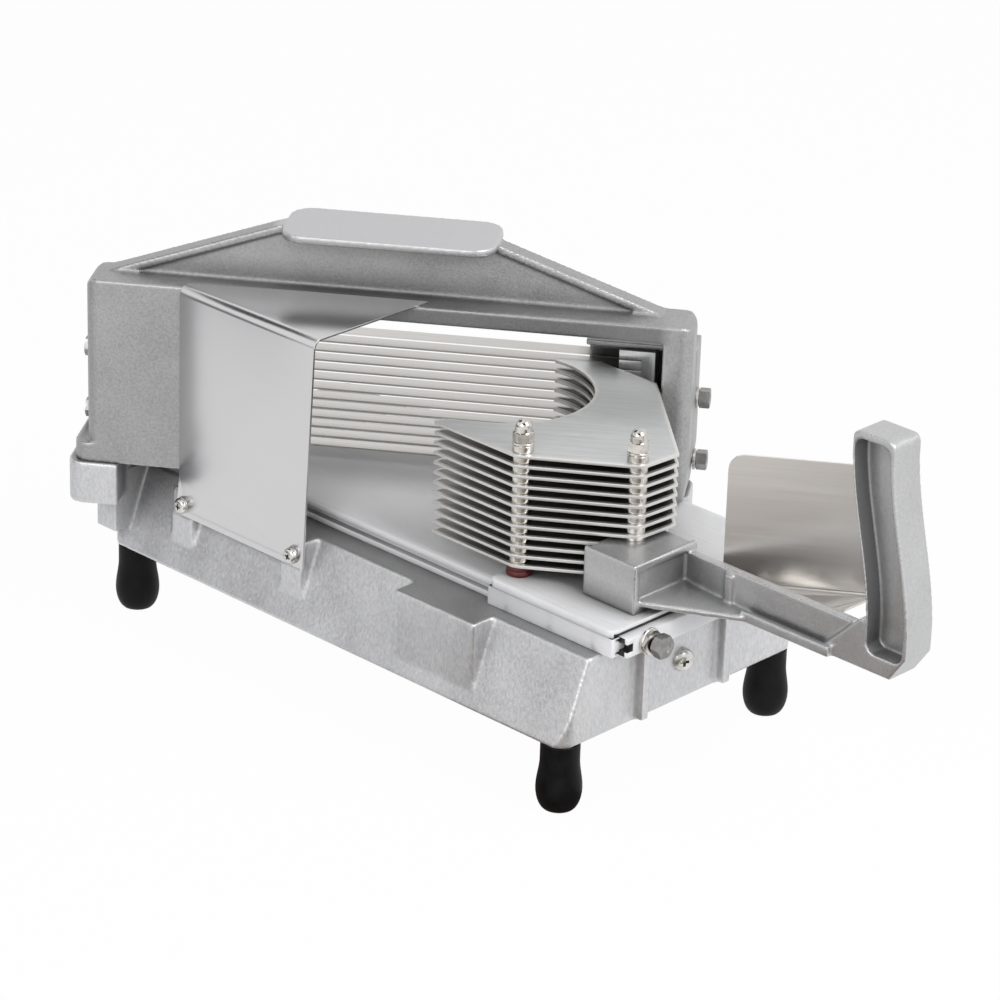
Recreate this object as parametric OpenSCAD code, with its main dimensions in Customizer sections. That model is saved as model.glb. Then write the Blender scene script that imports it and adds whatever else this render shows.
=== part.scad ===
// Hand-operated tomato slicer: a cast base on rubber feet carries a diagonal frame of thin
// horizontal blades, and a stack of pusher plates slides between them when the grip is pushed.

/* [Base casting] */
// left end of the base, measured from the near foot
base_x0 = -380; // [-392:1:-379]
// right end wall of the base
base_x1 = 12; // [8:1:20]
// foot of the flared front wall
base_y0 = -12; // [-20:1:-6]
// back wall
base_y1 = 192; // [186:1:205]
// upper edge of the flared front wall
ledge_y = 9; // [2:1:16]
// height of the lower rim above the table
base_z = 44; // [36:1:52]
// height of the deck above the table
deck_z = 97; // [90:1:104]
// thickness of walls and deck
wall_t = 6; // [4:0.5:8]
// height where the frame stands on the two ears
seat_z = 110; // [104:1:112]
// underside of the ears
ear_z = 82; // [74:1:90]

/* [Feet] */
// spacing of the feet along the base
foot_dx = 367; // [340:1:390]
// spacing of the feet across the base
foot_dy = 182; // [170:1:184]
// diameter of the foot's neck
foot_d = 23.5; // [19:0.5:25]
// diameter of the foot's bulge
foot_bulge_d = 27.5; // [25:0.5:30]

/* [Slide table] */
// left end of the plastic board
table_x0 = -300; // [-310:1:-285]
// right end of the plastic board
table_x1 = 26; // [22:1:30]
// front side of the board
table_y0 = 25; // [24:0.5:28]
// back side of the board
table_y1 = 179; // [170:1:180]
// thickness of the board
table_t = 12; // [10:0.5:13]
// depth of the guide grooves in its long sides
groove_d = 4.5; // [3:0.5:6]

/* [Blade frame] */
// angle of the blades to the slide
cut_angle = 35.5; // [30:0.5:40]
// left end of the frame along the blades
frame_u0 = -324; // [-330:1:-318]
// right end of the frame along the blades
frame_u1 = 48; // [46:1:50]
// front face of the frame
frame_v0 = 183; // [182:1:186]
// thickness of the frame
frame_t = 33; // [30:1:36]
// right side of the opening
jamb_u = 30; // [29.5:0.5:32]
// width of the left column
column_w = 62; // [56:1:66]
// underside of the lintel
lintel_z = 219.6; // [217:0.2:224]
// top of the shelf on the columns and lintel
shelf_z = 230.5; // [229:0.5:234]
// top of the pad
pad_z = 269.5; // [262:0.5:276]
// length of the pad
pad_l = 131; // [110:1:150]
// depth of the pad
pad_w = 51; // [40:1:56]

/* [Blades] */
// number of blades
blade_n = 13; // [11:1:13]
// distance between blades, which is the slice thickness
slice_t = 6.35; // [6:0.05:6.4]
// width of one blade
blade_w = 12.7; // [10:0.1:14]
// thickness of one blade
blade_t = 0.6; // [0.4:0.1:0.8]
// cutting edges, measured from the near foot across the blades
blade_v = 218; // [217.5:0.5:220]

/* [Pusher] */
// travel of the pusher
stroke = 200; // [160:5:200]
// left end of the sliding shoe at rest
shoe_x0 = -79; // [-84:1:-74]
// right end of the sliding shoe at rest
shoe_x1 = 20; // [18:1:22]
// thickness of the shoe's plate
shoe_t = 4.7; // [4:0.1:5]
// thickness of the guide strips
gib_t = 6.2; // [5:0.1:6.5]
// thickness of one pusher plate
plate_t = 2; // [1.2:0.1:2.2]
// middle of the lowest plate above the table
plate_z0 = 121.5; // [121.3:0.1:122]
// radius of the tomato pocket
pocket_r = 54.5; // [50:0.5:55]
// front side of the plates
plate_y0 = 28.4; // [27.5:0.1:29]
// back side of the plates
plate_y1 = 168.5; // [166:0.5:169]
// top of the pusher's block inside its rim
block_z = 143.2; // [142:0.1:143.6]

/* [Guards and grip] */
// thickness of the guard sheets
sheet_t = 1.5; // [1:0.1:2]
// outer face of the front guard
guard_y = -6; // [-8:0.5:-5]
// height of the grip's top
grip_z = 257; // [245:1:265]
// width of the grip along the slide
grip_w = 30; // [26:1:34]
// depth of the grip across the slide
grip_d = 23; // [20:1:26]

/* [Fits] */
// radial clearance of screws, posts and pins in their holes
hole_c = 0.2; // [0.15:0.05:0.4]
// running clearance of the sliding pieces
slide_c = 0.3; // [0.1:0.05:0.4]

/* [Hidden] */
$fn = 48;
eps = 0.01;
ca = cos(cut_angle);
sa = sin(cut_angle);
table_z = deck_z + table_t;
shoe_z0 = table_z + 0.1;
shoe_z1 = shoe_z0 + shoe_t;
shoe_y0 = table_y0 - slide_c - gib_t;
shoe_y1 = table_y1 + slide_c + gib_t;
gib_z0 = deck_z + slide_c;
frame_v1 = frame_v0 + frame_t;
frame_c = (frame_u0 + frame_u1) / 2;
pad_c = frame_c - 1;
bolt_sink = 5.5;
open_u0 = frame_u0 + column_w;
housing_v1 = max(frame_v1 + 22, blade_v + blade_w + 7.3);
housing_w = 68;
housing_z = 206;
web_v0 = frame_v0 + 20;
web_t = 11;
pass_y = shoe_y1 + 2.2;
pass_z = shoe_z1 + 2.2;
stack_z0 = plate_z0 - slice_t / 2;
holder_w = 22;
holder_gap = 7.5;
holder_v0 = blade_v - 3;
holder_v1 = blade_v + blade_w + 2.8;
holder_z1 = stack_z0 + blade_n * slice_t - 0.2;
blade_end = 8;
bolt_v = blade_v + 4;
bolt_z = [130, 171];
block_x0 = -27;
block_x1 = 13.5;
block_y0 = 43;
block_y1 = 97;
rim_h = 1.6;
arm_z = 115;
arm_top = 140;
arm_y0 = 82;
web_y0 = 89;
web_y1 = 95;
grip_y0 = 86;
plate_n = 12;
short_n = 4;
lead_v = 107.5;
horn_v = blade_v - 3.2;
post_v = 71.4;
post_u = [-37, 30];
post_d = 6.35;
spacer_d = 12.7;
corner_r = 8.2;
plate_top = plate_z0 + (plate_n - 1) * slice_t + plate_t / 2;
guard_x0 = -320.5;
guard_x1 = -203;
guard_z0 = 80.5;
pillar_z = 57;
// narrow reliefs above and below the tongues of the guide strips
relief_z = [0.9, 9.1];
relief_t = 2;
relief_d = 3;
stop_y = 43;
stop_nut_t = 5.5;
// frame bolts along and across the blades
frame_bolt_at = [[frame_u0 + 11, frame_v0 + 7.5],
  [frame_u1 - 9, frame_v1 + 2.5], [frame_u1 - 9, housing_v1 - 6]];
hand_v = 64;
hand_u0 = 83;
hand_u1 = 172;
hand_z0 = 122;
hand_z1 = 204.5;
ear_u0 = frame_u0 - 12;
ear_u1 = frame_u1;
ear_v1 = housing_v1 + 2;
foot_x = [-foot_dx, 0];
foot_y = [0, foot_dy];
grip_x1 = 163.5 + grip_w / 2;
ear_v0 = frame_v0 - 2;
ear_r = 10;
// corners of the whole outline, and its middle over the floor
x_min = (ear_u0 + ear_r) * ca - (ear_v1 - ear_r) * sa - ear_r;
y_min = (ear_u0 + ear_r) * sa + (ear_v0 + ear_r) * ca - ear_r;
y_max = (ear_u1 - ear_r) * sa + (ear_v1 - ear_r) * ca + ear_r;
place_x = (x_min + grip_x1) / 2;
place_y = (y_min + y_max) / 2;
pocket_u = -62;
horn_u = -36;

// plan position of a point given along and across the blades
function plan(u, v) = [u * ca - v * sa, u * sa + v * ca];
// position along x of the line at a distance v, for a given y
function x_at(v, y) = (y * ca - v) / sa;
// position along y of the line at a distance v, for a given x
function y_at(v, x) = (v + x * sa) / ca;
function smooth(t) = t <= 0 ? 0 : t >= 1 ? 1 : t * t * (3 - 2 * t);
function corner(c, r, a) = c + r * [cos(a), sin(a)];
function grip_c(z) = 163.5 - 17.5 * smooth((z - 140) / (grip_z - 7 - 140));

pocket = plan(pocket_u, lead_v + pocket_r);
post_xy = [for (u = post_u) plan(u, post_v)];

module in_frame() {
  rotate([0, 0, cut_angle]) children();
}

// box between two corners
module span(a, b) {
  translate(a) cube(b - a);
}

// rectangle between two corners with rounded corners
module round_rect(a, b, r) {
  translate([a.x + r, a.y]) square([b.x - a.x - 2 * r, b.y - a.y]);
  translate([a.x, a.y + r]) square([b.x - a.x, b.y - a.y - 2 * r]);
  for (x = [a.x + r, b.x - r], y = [a.y + r, b.y - r]) translate([x, y]) circle(r);
}

// profile drawn in x and z, carried along y between two values
module along_y(y0, y1) {
  translate([0, y1, 0]) rotate([90, 0, 0]) linear_extrude(y1 - y0) children();
}

// profile drawn in y and z, carried along x between two values
module along_x(x0, x1) {
  translate([x0, 0, 0]) rotate([90, 0, 90]) linear_extrude(x1 - x0) children();
}

// upright cylinder between two heights
module post(d, z0, z1) {
  translate([0, 0, z0]) cylinder(d = d, h = z1 - z0);
}

// pan head screw pointing down from its seat at the origin
module pan_screw(d, head_d, head_h, length) {
  difference() {
    union() {
      cylinder(d = head_d, h = head_h * 0.55);
      translate([0, 0, head_h * 0.55]) cylinder(d1 = head_d, d2 = head_d * 0.72, h = head_h * 0.45);
      translate([0, 0, -length]) cylinder(d = d, h = length + eps);
    }
    for (a = [0, 90]) rotate([0, 0, a]) translate([-head_d * 0.3, -0.5, head_h * 0.5])
      cube([head_d * 0.6, 1, head_h]);
  }
}

// hex head screw pointing down from its seat at the origin
module hex_screw(d, flats, head_h, length) {
  cylinder(d = flats / cos(30), h = head_h, $fn = 6);
  translate([0, 0, -length]) cylinder(d = d, h = length + eps);
}

// flat washer standing on the origin
module washer(d, hole, t) {
  difference() {
    cylinder(d = d, h = t);
    translate([0, 0, -1]) cylinder(d = hole, h = t + 2);
  }
}

// passage of the sliding shoe under the right column
module shoe_passage(z0) {
  span([-285, 0, z0], [60, pass_y, pass_z]);
}

module at_feet() {
  for (x = foot_x, y = foot_y) translate([x, y, 0]) children();
}

// holes for the bolts that hold the frame down
module frame_bolt_holes() {
  for (p = frame_bolt_at) translate(concat(plan(p.x, p.y), 0)) post(6 + 2 * hole_c, ear_z - 1,
    seat_z + 14.5);
}

module at_tension_bolts() {
  in_frame() for (z = bolt_z) {
    translate([frame_u1, bolt_v, z]) rotate([0, 90, 0]) children();
    translate([frame_u0, bolt_v, z]) rotate([0, -90, 0]) children();
  }
}

module at_table_screws() {
  for (x = [-270, -20], y = [60, 145]) translate([x, y, deck_z - wall_t - 2]) rotate([180, 0, 0])
    children();
}

module at_guard_screws() {
  for (x = [-318, -219.5]) translate([x, guard_y, guard_z0 + 7]) rotate([90, 0, 0]) children();
}

module at_gib_screws(y) {
  for (x = [shoe_x0 + 15, (shoe_x0 + shoe_x1) / 2, shoe_x1 - 15]) translate([x, y, gib_z0 + 3])
    children();
}

module at_block_screws() {
  for (y = [54, 86]) translate([block_x0 + 30, y, shoe_z0]) children();
}

module at_posts() {
  for (p = post_xy) translate([p.x, p.y, 0]) children();
}

module at_hand_screws() {
  for (x = [56, 92]) translate([x, web_y1 + 7, hand_z0 + sheet_t]) children();
}

// outer section of the base: flared front wall, flat deck, upright back
module base_section() {
  polygon([[base_y0, base_z], [ledge_y, deck_z], [base_y1, deck_z], [base_y1, base_z]]);
}

module base_cavity() {
  flare = (ledge_y - base_y0) / (deck_z - base_z);
  top = deck_z - wall_t - 2;
  polygon([[base_y0 + wall_t, base_z - 1], [base_y0 + wall_t + flare * (top - base_z), top],
    [base_y1 - wall_t, top], [base_y1 - wall_t, base_z - 1]]);
}

module ear(u0, u1, v0, v1) {
  in_frame() translate([0, 0, ear_z]) linear_extrude(seat_z - ear_z) round_rect([u0, v0], [u1, v1],
    ear_r);
}

module base_casting() {
  color([0.72, 0.73, 0.74]) difference() {
    union() {
      difference() {
        intersection() {
          along_x(base_x0, base_x1) base_section();
          translate([0, 0, base_z - 1]) linear_extrude(deck_z) round_rect([base_x0, base_y0], [base_x1,
            base_y1], 12);
        }
        along_x(base_x0 + wall_t, base_x1 - wall_t) base_cavity();
      }
      // bosses under the four feet
      intersection() {
        at_feet() post(foot_d + 1, base_z, deck_z - 1);
        along_x(base_x0, base_x1) base_section();
      }
      // box on the front wall and the two pads behind the guard's screws
      span([-130, -8.2, 50], [-64.5, ledge_y + 8, deck_z]);
      for (x = [-329, -231]) {
        span([x, guard_y + sheet_t, 56], [x + 19.5, ledge_y + 8, deck_z]);
        span([x, guard_y + 0.4, 55], [x + 19.5, ledge_y + 8, guard_z0 - 0.8]);
      }
      // corner pillar with the left ear, and the right ear
      span([base_x0 - 3.5, -19, pillar_z], [-366, 20, deck_z]);
      ear(ear_u0, frame_u0 + 18, ear_v0, ear_v1);
      in_frame() span([frame_u0, ear_v0, ear_z], [frame_u0 + 20, ear_v1, seat_z]);
      ear(2, ear_u1, frame_v1 - 12, ear_v1);
      // ribs on the end wall
      for (y = [49.5, 121]) span([base_x1 - 2, y, base_z + 1], [base_x1 + 5.5, y + 6, deck_z - 1]);
    }
    shoe_passage(deck_z);
    at_feet() post(8 + 2 * hole_c, base_z - 1, base_z + 16);
    frame_bolt_holes();
    for (p = frame_bolt_at) translate(concat(plan(p.x, p.y), 0)) post(13, ear_z - 1, ear_z + bolt_sink);
    at_table_screws() post(5 + 2 * hole_c, -20, 1);
    at_guard_screws() post(4.8 + 2 * hole_c, -14, 1);
    translate([base_x1, 89, 71]) rotate([0, 90, 0]) post(6 + 2 * hole_c, -12, 1);
  }
}

// radius of a foot at a height: flat sole, round bulge, slow taper to the neck
function foot_r(z) = z <= 14 ? 7 + (foot_bulge_d / 2 - 7) * sqrt(1 - pow(1 - z / 14, 2))
  : foot_bulge_d / 2 - (foot_bulge_d - foot_d) / 2 * smooth((z - 14) / 18);

module rubber_feet() {
  color([0.06, 0.06, 0.065]) at_feet() difference() {
    rotate_extrude() polygon(concat([[0, 0]], [for (z = [0, 0.6, 2, 4, 6.5, 10, 14, 17, 20, 23, 26, 29,
      32]) [foot_r(z), z]],
      [[foot_d / 2, base_z], [0, base_z]]));
    post(8 + 2 * hole_c, 16, base_z + 1);
  }
}

module foot_studs() {
  color([0.66, 0.66, 0.67]) at_feet() post(8, 17, base_z + 15);
}

module slide_table() {
  color([0.93, 0.93, 0.94]) difference() {
    span([table_x0, table_y0, deck_z], [table_x1, table_y1, table_z]);
    for (y = [table_y0 - 1, table_y1 - groove_d]) span([table_x0 - 1, y, deck_z + 3.6], [table_x1 + 1,
      y + groove_d + 1, deck_z + 8.4]);
    at_table_screws() post(5 + 2 * hole_c, -17, 1);
    translate([table_x1, stop_y, deck_z + 6]) rotate([0, 90, 0]) post(8 + 2 * hole_c, -24, 1);
  }
}

module table_screws() {
  color([0.74, 0.74, 0.72]) at_table_screws() pan_screw(5, 9.5, 3.6, 16);
}

// front view of the columns and lintel
module frame_front() {
  r = 7;
  difference() {
    union() {
      translate([frame_u0, seat_z]) square([frame_u1 - frame_u0, shelf_z - seat_z - r]);
      translate([frame_u0 + r, shelf_z - r - 2]) square([frame_u1 - frame_u0 - 2 * r, r + 2]);
      for (u = [frame_u0 + r, frame_u1 - r]) translate([u, shelf_z - r]) circle(r);
    }
    translate([open_u0, seat_z - 1]) square([jamb_u - open_u0, lintel_z - seat_z + 1]);
  }
}

// gable between shelf and pad
module gable(top) {
  half = pad_l / 2 + 2;
  run = (top - shelf_z) / tan(19.2);
  polygon([[pad_c - half - run, shelf_z - 1], [pad_c - half, top], [pad_c + half - 7, top],
    [pad_c + half - 7 + run, shelf_z - 1]]);
}

module housing(u0, u1, c0, c1) {
  difference() {
    span([u0, frame_v1 - 1, seat_z], [u1, housing_v1, housing_z]);
    span([c0, frame_v1 - 2, seat_z - 1], [c1, housing_v1 - 3.5, housing_z - 4]);
  }
}

module blade_frame() {
  color([0.7, 0.71, 0.72]) difference() {
    in_frame() {
      intersection() {
        along_y(frame_v0, frame_v1) frame_front();
        linear_extrude(300) round_rect([frame_u0, frame_v0], [frame_u1, frame_v1], 9);
      }
      // foot flange of the left column
      translate([0, 0, seat_z]) linear_extrude(bolt_z[0] - 7.5 - seat_z)
        round_rect([frame_u0 - 8, frame_v0], [frame_u0 + 16, housing_v1], 9);
      housing(frame_u0, frame_u0 + housing_w, frame_u0 + 16, frame_u0 + housing_w + 1);
      housing(frame_u1 - housing_w, frame_u1, frame_u1 - housing_w - 1, jamb_u);
      along_y(web_v0, web_v0 + web_t) gable(pad_z - 0.6);
      // raised rim along the two slopes
      along_y(web_v0 - 2.5, web_v0 + 1) difference() {
        gable(pad_z - 0.6);
        translate([0, -5]) gable(pad_z - 0.6);
      }
      translate([0, web_v0 + web_t / 2 - pad_w / 2, pad_z - 5]) linear_extrude(5)
        round_rect([pad_c - pad_l / 2, 0], [pad_c + pad_l / 2, pad_w], 14);
    }
    shoe_passage(seat_z - 1);
    // room for the left blade holder behind its column
    in_frame() span([frame_u0 + 16, min(holder_v0 - 1.2, frame_v1), seat_z - 1],
      [frame_u0 + housing_w + 1, frame_v1 + 1, housing_z - 4]);
    // the right foot narrows towards its seat
    in_frame() along_y(0, 300) polygon([[frame_u1, 137], [frame_u1 + 1, 137], [frame_u1 + 1,
      seat_z - 1], [frame_u1 - 3, seat_z - 1]]);
    at_tension_bolts() post(6 + 2 * hole_c, -22, 1);
    frame_bolt_holes();
  }
}

module frame_bolts() {
  color([0.68, 0.68, 0.68]) for (p = frame_bolt_at) translate(concat(plan(p.x, p.y),
    ear_z + bolt_sink)) rotate([180, 0, 0]) hex_screw(6, 10, 4.5, seat_z + 14 - ear_z - bolt_sink);
}

// block that grips the blade ends, drawn at the right side
module holder() {
  u0 = jamb_u - holder_gap - holder_w;
  difference() {
    span([u0, holder_v0, pass_z + 0.4], [u0 + holder_w, holder_v1, holder_z1]);
    for (i = [0:blade_n - 1]) span([u0 - 1, holder_v0 - 1, stack_z0 + i * slice_t - blade_t / 2 - 0.1],
      [u0 + 13.5, blade_v + blade_w + 0.4, stack_z0 + i * slice_t + blade_t / 2 + 0.1]);
    for (z = bolt_z) translate([u0 + 13.5, bolt_v, z]) rotate([0, 90, 0]) cylinder(d = 6 + 2 * hole_c,
      h = 20);
    translate([u0 + blade_end, blade_v + 6, 0]) post(3 + 2 * hole_c, pass_z, holder_z1 + 1);
  }
}

module blade_holder_right() {
  color([0.62, 0.63, 0.64]) in_frame() holder();
}

module blade_holder_left() {
  color([0.62, 0.63, 0.64]) in_frame() translate([2 * frame_c, 0, 0]) mirror([1, 0, 0]) holder();
}

module blades() {
  u1 = jamb_u - holder_gap - holder_w + 12.5;
  color([0.82, 0.82, 0.81]) in_frame() for (i = [0:blade_n - 1]) difference() {
    translate([2 * frame_c - u1, 0, stack_z0 + i * slice_t]) along_x(0, 2 * (u1 - frame_c))
      polygon([[blade_v, 0], [blade_v + 2, blade_t / 2], [blade_v + blade_w, blade_t / 2],
        [blade_v + blade_w, -blade_t / 2], [blade_v + 2, -blade_t / 2]]);
    for (u = [u1 - 12.5 + blade_end, 2 * frame_c - u1 + 12.5 - blade_end]) translate([u, blade_v + 6,
      stack_z0 + i * slice_t])
      cylinder(d = 3 + 2 * hole_c, h = 5, center = true);
  }
}

module blade_pins() {
  u = jamb_u - holder_gap - holder_w + blade_end;
  color([0.6, 0.6, 0.6]) in_frame() for (x = [u, 2 * frame_c - u]) translate([x, blade_v + 6, 0])
    post(3, pass_z + 0.6, holder_z1 - 0.5);
}

module tension_bolts() {
  color([0.7, 0.7, 0.69]) at_tension_bolts() translate([0, 0, 1.6]) hex_screw(6, 11, 7, 34);
}

module tension_washers() {
  color([0.74, 0.74, 0.73]) at_tension_bolts() washer(13, 6 + 2 * hole_c, 1.6);
}

module front_guard() {
  r = 6;
  top = shelf_z + sheet_t;
  color([0.83, 0.83, 0.84]) difference() {
    union() {
      along_y(guard_y, guard_y + sheet_t) polygon([[guard_x0 - 4, guard_z0], [guard_x1 - 7.5, guard_z0],
        [guard_x1, top - r], [guard_x0, top - r], [guard_x0 - 0.5, seat_z - 2]]);
      intersection() {
        span([guard_x0, guard_y + r, shelf_z], [guard_x1, 120, top]);
        in_frame() span([-400, 0, 0], [200, frame_v0 + 7, 300]);
      }
      along_x(guard_x0, guard_x1) difference() {
        intersection() {
          translate([guard_y + r, top - r]) circle(r);
          translate([guard_y, top - r]) square(r);
        }
        translate([guard_y + r, top - r]) circle(r - sheet_t);
      }
    }
    at_guard_screws() post(4.8 + 2 * hole_c, -5, 1);
  }
}

module guard_screws() {
  color([0.72, 0.71, 0.68]) at_guard_screws() pan_screw(4.8, 10.4, 4.2, 13);
}

module stop_bolt() {
  color([0.72, 0.72, 0.7]) translate([table_x1 + 1.8 + stop_nut_t, stop_y, deck_z + 6]) rotate([0, 90, 0])
    hex_screw(8, 13, 6.5, 24 + stop_nut_t);
}

module stop_washer() {
  color([0.76, 0.76, 0.74]) translate([table_x1, stop_y, deck_z + 6]) rotate([0, 90, 0]) washer(16,
    8 + 2 * hole_c, 1.8);
}

module stop_nut() {
  color([0.74, 0.74, 0.72]) translate([table_x1 + 1.8, stop_y, deck_z + 6]) rotate([0, 90, 0])
    difference() {
    cylinder(d = 13 / cos(30), h = stop_nut_t, $fn = 6);
    post(8 + 2 * hole_c, -1, stop_nut_t + 1);
  }
}

module end_screw() {
  color([0.72, 0.71, 0.68]) translate([base_x1, 89, 71]) rotate([0, 90, 0]) pan_screw(6, 14.5, 5.5, 11);
}

module slide_shoe() {
  color([0.92, 0.92, 0.93]) difference() {
    translate([0, 0, shoe_z0]) linear_extrude(shoe_t) round_rect([shoe_x0, shoe_y0], [shoe_x1,
      shoe_y1], 5);
    for (y = [shoe_y0 + gib_t / 2, shoe_y1 - gib_t / 2]) at_gib_screws(y) post(3 + 2 * hole_c, -1,
      shoe_z0 - gib_z0);
    at_block_screws() {
      translate([0, 0, -eps]) cylinder(d1 = 9.6, d2 = 5.4, h = 2.3);
      post(5 + 2 * hole_c, -1, 6);
    }
    translate([post_xy[0].x, post_xy[0].y, 0]) post(post_d + 2 * hole_c, shoe_z0 + 1.5, shoe_z1 + 1);
  }
}

// guide strip drawn at the front side, with its tongue in the table's groove
module gib() {
  difference() {
    union() {
      span([shoe_x0, shoe_y0, gib_z0], [shoe_x1, shoe_y0 + gib_t, shoe_z0]);
      span([shoe_x0, shoe_y0 + gib_t - 1, deck_z + 3.6 + slide_c], [shoe_x1,
        table_y0 + groove_d - slide_c, deck_z + 8.4 - slide_c]);
    }
    for (z = relief_z) span([shoe_x0 - 1, shoe_y0 + gib_t - relief_d, deck_z + z], [shoe_x1 + 1,
      shoe_y0 + gib_t + 1, deck_z + z + relief_t]);
    at_gib_screws(shoe_y0 + gib_t / 2) {
      post(3 + 2 * hole_c, -1, shoe_z0);
      post(5.4, -4, 0);
    }
  }
}

module front_gib() {
  color([0.9, 0.9, 0.91]) gib();
}

module rear_gib() {
  color([0.9, 0.9, 0.91]) translate([0, shoe_y0 + shoe_y1, 0]) mirror([0, 1, 0]) gib();
}

module gib_screws() {
  color([0.72, 0.72, 0.7]) for (y = [shoe_y0 + gib_t / 2, shoe_y1 - gib_t / 2]) at_gib_screws(y) {
    post(3, -0.5, shoe_z0 - gib_z0 - 3 + shoe_t - 2.2);
    post(5, -2.4, 0);
  }
}

// side view of the grip
module grip_side(half, z0, z1, n) {
  polygon(concat([for (i = [0:n]) let (z = z0 + (z1 - z0) * i / n) [grip_c(z) + half, z]],
    [for (i = [n:-1:0]) let (z = z0 + (z1 - z0) * i / n) [grip_c(z) - half, z]]));
}

module pusher_casting() {
  color([0.71, 0.72, 0.73]) difference() {
    union() {
      // block on the shoe with a low rim on two edges and a shallow panel in its end
      difference() {
        union() {
          span([block_x0, block_y0, shoe_z1], [block_x1, block_y1, block_z]);
          span([block_x0, block_y0, block_z - 1], [block_x1, block_y0 + 3, block_z + rim_h]);
          span([block_x1 - 3, block_y0, block_z - 1], [block_x1, block_y1, block_z + rim_h]);
        }
        span([block_x1 - 2.5, block_y0 + 4.5, arm_z + 3.5], [block_x1 + 1, web_y0, block_z - 3]);
      }
      // gusset that falls from the block to the arm, then the arm's floor, lip and web
      translate([64, 0, arm_z]) rotate([0, 3.5, 0]) translate([-64, 0, 0]) linear_extrude(3.6)
        polygon([[block_x1 - 4, block_y0 + 4], [block_x1, block_y0 + 4], [64, arm_y0], [64, web_y1],
          [block_x1 - 4, web_y1]]);
      span([60, arm_y0, arm_z], [126, web_y1, arm_z + 3.5]);
      span([60, arm_y0, arm_z], [126, arm_y0 + 3, arm_z + 6.5]);
      span([block_x1 - 1, web_y0, arm_z], [150, web_y1, arm_top]);
      span([43, arm_y0 + 5, arm_z + 1], [48.5, web_y1, arm_top - 3]);
      // ledge behind the web that carries the hand guard
      span([38, web_y1 - 1, arm_z], [122, web_y1 + 14, hand_z0]);
      // end web and grip
      along_y(arm_y0 + 4, web_y1) polygon([[118, arm_z], [118, arm_z + 4], [144, 145], [160, 145],
        [160, arm_z]]);
      along_y(grip_y0, grip_y0 + grip_d) {
        r = 5;
        grip_side(grip_w / 2, 130, grip_z - r, 40);
        translate([grip_c(grip_z) - grip_w / 2 + r, grip_z - 2 * r]) square([grip_w - 2 * r, 2 * r]);
        for (x = [r - grip_w / 2, grip_w / 2 - r]) translate([grip_c(grip_z) + x, grip_z - r]) circle(r);
        polygon([[146, arm_z], [168, arm_z], [grip_c(130) + grip_w / 2, 130.5], [146, 130.5]]);
      }
    }
    // long groove on the grip's face
    translate([-0.8, 0, 0]) along_y(grip_y0 - 1, grip_y0 + grip_d * 0.52) {
      half = grip_w / 2 - 2.2;
      z0 = 126.5;
      z1 = grip_z - 4.5;
      r = 6;
      grip_side(half, z0 + r, z1 - r, 36);
      for (z = [z0 + r, z1 - r]) {
        translate([grip_c(z) - half + r, z - r]) square([2 * (half - r), 2 * r]);
        for (x = [r - half, half - r]) translate([grip_c(z) + x, z]) circle(r);
      }
    }
    at_block_screws() post(5 + 2 * hole_c, 0, 16);
    translate([post_xy[1].x, post_xy[1].y, 0]) post(post_d + 2 * hole_c, block_z - 15, block_z + 1);
    at_hand_screws() post(4 + 2 * hole_c, -8, 1);
  }
}

module block_screws() {
  color([0.7, 0.7, 0.68]) at_block_screws() {
    cylinder(d1 = 9, d2 = 5, h = 2.1);
    post(5, 0, 15);
  }
}

module post_bumper() {
  color([0.45, 0.06, 0.07]) translate([post_xy[0].x, post_xy[0].y, shoe_z1]) washer(16,
    post_d + 2 * hole_c, plate_z0 - plate_t / 2 - shoe_z1);
}

module pusher_posts() {
  color([0.74, 0.74, 0.73]) {
    translate([post_xy[0].x, post_xy[0].y, 0]) post(post_d, shoe_z0 + 2, plate_top + 17);
    translate([post_xy[1].x, post_xy[1].y, 0]) post(post_d, block_z - 14, plate_top + 17);
  }
}

// outline of one pusher plate before its pocket and holes are cut
module plate_outline() {
  tip_x = -136;
  polygon(concat([[tip_x, y_at(lead_v, tip_x)], [tip_x, plate_y0]],
    [for (i = [0:6]) corner(post_xy[0], post_xy[0].y - plate_y0, -90 + cut_angle * i / 6)],
    [for (i = [0:8]) corner(post_xy[1], corner_r, -90 + cut_angle + (85 - cut_angle) * i / 8)],
    [[-7.3, 100.5], [-87, plate_y1], [x_at(horn_v, plate_y1), plate_y1]],
    [plan(horn_u, horn_v), pocket, plan(pocket_u, lead_v)]));
}

module plate() {
  difference() {
    linear_extrude(plate_t) plate_outline();
    translate([pocket.x, pocket.y, -1]) cylinder(r = pocket_r, h = plate_t + 2, $fn = 96);
    at_posts() post(post_d + 2 * hole_c, -1, plate_t + 1);
  }
}

module pusher_plates() {
  color([0.8, 0.8, 0.8]) for (i = [short_n:plate_n - 1]) translate([0, 0,
    plate_z0 + i * slice_t - plate_t / 2]) plate();
}

module short_plates() {
  color([0.8, 0.8, 0.8]) for (i = [0:short_n - 1]) translate([0, 0,
    plate_z0 + i * slice_t - plate_t / 2]) difference() {
    plate();
    span([block_x0 - 0.4, 0, -1], [100, 200, plate_t + 1]);
  }
}

module plate_spacers() {
  color([0.78, 0.78, 0.77]) for (k = [0, 1]) translate([post_xy[k].x, post_xy[k].y, 0]) {
    for (i = [k == 0 ? 0 : short_n : plate_n - 1]) translate([0, 0, plate_z0 + i * slice_t + plate_t / 2])
      washer(spacer_d, post_d + 2 * hole_c, slice_t - plate_t);
    if (k == 1) translate([0, 0, block_z]) washer(spacer_d, post_d + 2 * hole_c,
      plate_z0 + short_n * slice_t - plate_t / 2 - block_z);
  }
}

module post_washers() {
  color([0.74, 0.74, 0.72]) at_posts() translate([0, 0, plate_top + slice_t - plate_t]) washer(13,
    post_d + 2 * hole_c, 1.4);
}

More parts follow.
